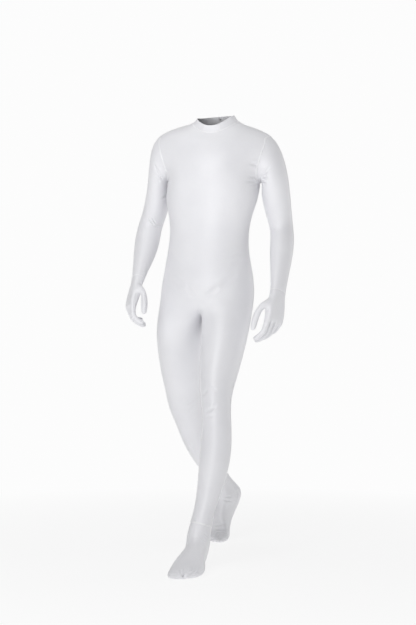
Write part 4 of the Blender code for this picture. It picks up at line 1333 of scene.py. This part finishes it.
def collar_top(fine, zip_line):
    """The collar's upper edge, from one side of the zip round to the other."""
    ring = np.array(max(walked(border(fine.quads).tolist()), key=len)[:-1])
    points = fine.shaped[ring]
    at_zip = (points[:, 1] > 0) & (np.abs(points[:, 0] - zip_line.points[-1][0]) < ZIP_CLEAR)
    start = int(np.argmax(at_zip))
    keep = np.roll(ring, -start)[~np.roll(at_zip, -start)]
    return Track(fine.shaped[keep], fine.normals[keep], False)


def build_collar_hem(fine, zip_line, banding):
    """The fold along the collar's edge and the stitch rows under it."""
    track = collar_top(fine, zip_line)
    points, _, across, out = track.at(np.linspace(0, track.length[-1], int(track.length[-1] / HEM_STEP)))
    ring = []
    for k in range(HEM_SIDES):
        turn = 2 * pi * k / HEM_SIDES
        ring.append(points + out * (0.00095 * cos(turn) - 0.0005) + across * (0.0010 * sin(turn)))
    grid = np.stack(ring, 1)
    fold = dressed(link("collar_fold", grid.reshape(-1, 3), tube_faces(*grid.shape[:2]), banding))
    below = 1 if (points + across * 0.001)[:, 2].mean() < points[:, 2].mean() else -1
    return fold, [stitch_points(track, below * offset, 0.0002) for offset in HEM_ROWS]


def build_stitches(rows, thread):
    """Every stitch as one piece."""
    points = np.concatenate(rows)
    return dressed(link("stitches", points.reshape(-1, 3), block_faces(len(points)), thread))


def build_zip(zip_line, banding, nylon, metal):
    """The tape, two rows of teeth, the stop, and the folded edge of the cloth beside them."""
    point, side, _, out = zip_line.at(np.linspace(zip_line.bottom - 0.004, zip_line.top, 160))
    section = ((-1, -TAPE_THICK), (1, -TAPE_THICK), (1, 0.0), (-1, 0.0))
    grid = np.stack([point + side * (x * TAPE_HALF_WIDTH) + out * z for x, z in section], 1)
    tape = link("zip_tape", grid.reshape(-1, 3), tube_faces(*grid.shape[:2]), nylon, smooth=False)
    dressed(tape)
    lengths = np.arange(zip_line.bottom + 0.002, zip_line.top - 0.0005, TOOTH_PITCH)
    parts = []
    for hand in (-1, 1):
        point, *axes = zip_line.at(lengths + (TOOTH_PITCH / 2 if hand > 0 else 0))
        side, _, out = axes
        parts.append(blocks(point + side * (hand * TOOTH_ASIDE) + out * TOOTH_PROUD, axes, TOOTH_HALVES))
        parts.append(blocks(point + side * (hand * RAIL_ASIDE) + out * RAIL_PROUD, axes, RAIL_HALVES))
    teeth = dressed(link("zip_teeth", *joined(parts), nylon, smooth=False))
    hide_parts("zip_chain")
    point, *axes = zip_line.at(np.array([zip_line.bottom - 0.0005]))
    stop = blocks(point + axes[2] * TOOTH_PROUD, axes, STOP_HALVES)
    dressed(link("zip_bottom_stop", *stop, metal, smooth=False))
    folds, stitches = [], []
    lengths = np.linspace(zip_line.bottom - 0.002, zip_line.length[-1] - 0.0005, 200)
    point, side, _, out = zip_line.at(lengths)
    for hand in (-1, 1):
        edge = Track(point + side * (hand * FOLD_ASIDE) - out * 0.0001, out, False)
        folds.append(band_mesh(edge, 0.0011, 0.0005))
        row = Track(point + side * (hand * ZIP_STITCHES_ASIDE) - out * 0.0002, out, False)
        stitches.append(stitch_points(row, 0.0, 0.0003))
    return dressed(link("zip_edge_folds", *joined(folds), banding)), stitches


def softbox(lamp):
    """A lamp aimed at a height over the floor under the hips."""
    data = bpy.data.lights.new(lamp.name, "AREA")
    data.shape = "RECTANGLE"
    data.size = lamp.wide
    data.size_y = lamp.high
    data.energy = lamp.power
    box = bpy.data.objects.new(lamp.name, data)
    box.location = Vector((lamp.x, lamp.y, lamp.z)) - NECK_CENTRE
    aim = Vector((0, 0, lamp.aim_z)) - NECK_CENTRE
    box.rotation_euler = (aim - box.location).to_track_quat("-Z", "Y").to_euler()
    bpy.context.scene.collection.objects.link(box)


def floor_material():
    """White paper that takes a faint shadow near the suit and fades into the background further off."""
    material, tree, paper, place = new_material("studio_floor")
    fill(paper, {
        "Base Color": (*FLOOR_COLOUR, 1), "Roughness": 0.9, "Specular IOR Level": 0.0,
        "Emission Color": (1, 1, 1, 1), "Emission Strength": FLOOR_GLOW,
    })
    away = node(tree, "ShaderNodeVectorMath", {0: place}, operation="LENGTH")
    fade = node(tree, "ShaderNodeMapRange", {
        "Value": away.outputs["Value"], "From Min": 1.3, "From Max": 2.6,
    })
    far = node(tree, "ShaderNodeEmission", {"Strength": ROOM_SEEN})
    mix = node(tree, "ShaderNodeMixShader", {
        "Fac": fade.outputs["Result"], 1: paper.outputs["BSDF"], 2: far.outputs["Emission"],
    })
    fill(tree.nodes["Material Output"], {"Surface": mix.outputs["Shader"]})
    return material


def build_studio():
    """A white floor and background, soft lamps, and the camera as high and as far as in the photograph."""
    scene = bpy.context.scene
    turn = radians(CAMERA_AZIMUTH)
    forward = Vector((-sin(turn), cos(turn), 0))
    camera_data = bpy.data.cameras.new("camera")
    camera_data.lens = CAMERA_LENS
    camera_data.sensor_width = 36
    camera = bpy.data.objects.new("camera", camera_data)
    camera.location = Vector((0, 0, CAMERA_HEIGHT)) - forward * CAMERA_DISTANCE - NECK_CENTRE
    camera.rotation_euler = (radians(90), 0, turn)
    scene.collection.objects.link(camera)
    scene.camera = camera
    size = FLOOR_HALF_SIZE
    corners = [(x * size, y * size, FLOOR_Z) for x, y in ((-1, -1), (1, -1), (1, 1), (-1, 1))]
    floor = link("studio_floor", corners, [(0, 1, 2, 3)], floor_material(), smooth=False)
    world = bpy.data.worlds.new("studio")
    scene.world = world
    world.use_nodes = True
    tree = world.node_tree
    tree.nodes.clear()
    # The room is white behind the suit and to its left, and dimmer in front. It is seen white all round
    facing = node(tree, "ShaderNodeVectorMath", {
        0: node(tree, "ShaderNodeTexCoord", {}).outputs["Generated"], 1: ROOM_BRIGHT_SIDE,
    }, operation="DOT_PRODUCT")
    strength = node(tree, "ShaderNodeMapRange", {
        "Value": facing.outputs["Value"], "From Min": -0.35, "From Max": 0.9, "To Min": ROOM_FRONT,
        "To Max": ROOM_BACK,
    })
    lit = node(tree, "ShaderNodeBackground", {"Color": (1, 1, 1, 1), "Strength": strength.outputs["Result"]})
    seen = node(tree, "ShaderNodeBackground", {"Color": (1, 1, 1, 1), "Strength": ROOM_SEEN})
    mix = node(tree, "ShaderNodeMixShader", {
        "Fac": node(tree, "ShaderNodeLightPath", {}).outputs["Is Camera Ray"],
        1: lit.outputs["Background"], 2: seen.outputs["Background"],
    })
    node(tree, "ShaderNodeOutputWorld", {"Surface": mix.outputs["Shader"]})
    for lamp in LAMPS:
        softbox(lamp)
    scene.view_settings.view_transform = "Standard"


def main():
    cage = suit_cage()
    fine = Rounded(cage, FINE)
    middle = Rounded(cage, FINE - 1)
    low = Rounded(cage, FINE - 2)
    tree = BVHTree.FromPolygons([tuple(p) for p in low.points], low.quads.tolist())
    limbs = limb_stations()
    lines = [(crease, crease_line(crease, limbs, tree)) for crease in CREASES]
    for body in (fine, middle):
        body.shaped = body.points + body.normals * crease_heights(body, lines)[:, None]
    for body in (middle, low):
        sunk = crease_heights(body, lines, troughs_only=True) - SHELL
        body.inside = body.points + body.normals * sunk[:, None]
    zip_line = ZipLine(fine)
    cloth = knit_material("spandex_knit", (0.80, 0.80, 0.825), (0.74, 0.74, 0.77), 0.42, 0.0009, 0.35)
    # The collar's front insert is its own sewn piece, and its knit is a little lighter than the rest: painted
    # highlight for the light on the front of the collar.
    painted_highlight_collar = knit_material("spandex_collar_painted_highlight", (0.82, 0.82, 0.845), (0.76, 0.76, 0.79), 0.46, 0.0009, 0.35)
    banding = knit_material("spandex_seam", (0.86, 0.86, 0.88), (0.80, 0.80, 0.82), 0.45, 0.0007, 0.4)
    thread = yarn_material()
    nylon = plain_surface("zip_nylon_moulded", (0.82, 0.82, 0.84), 0.42, 0.0, 900, 0.1)
    metal = plain_surface("zip_metal_plated", (0.78, 0.78, 0.80), 0.28, 1.0, 1400, 0.15)
    for name in CLOTH_PIECES:
        outside, inside = (middle, low) if name.startswith("glove") else (fine, middle)
        # The collar's front insert takes the lighter knit, with its painted highlight.
        shell(name, outside, inside, zip_line, painted_highlight_collar if name == "collar_front" else cloth)
    stitches, bands = build_seams(fine, zip_line, banding)
    collar_fold, collar_rows = build_collar_hem(fine, zip_line, banding)
    zip_folds, zip_rows = build_zip(zip_line, banding, nylon, metal)
    bands.setdefault("collar_front", []).append(collar_fold)
    bands["back_left"].append(zip_folds)
    bands["front"] = [build_stitches(stitches + collar_rows + zip_rows, thread)]
    for name in ("zip_slider", "zip_pull"):
        for slot in frame["nodes"][name].material_slots:
            slot.material = metal
    build_studio()
    bpy.context.view_layer.update()


main()
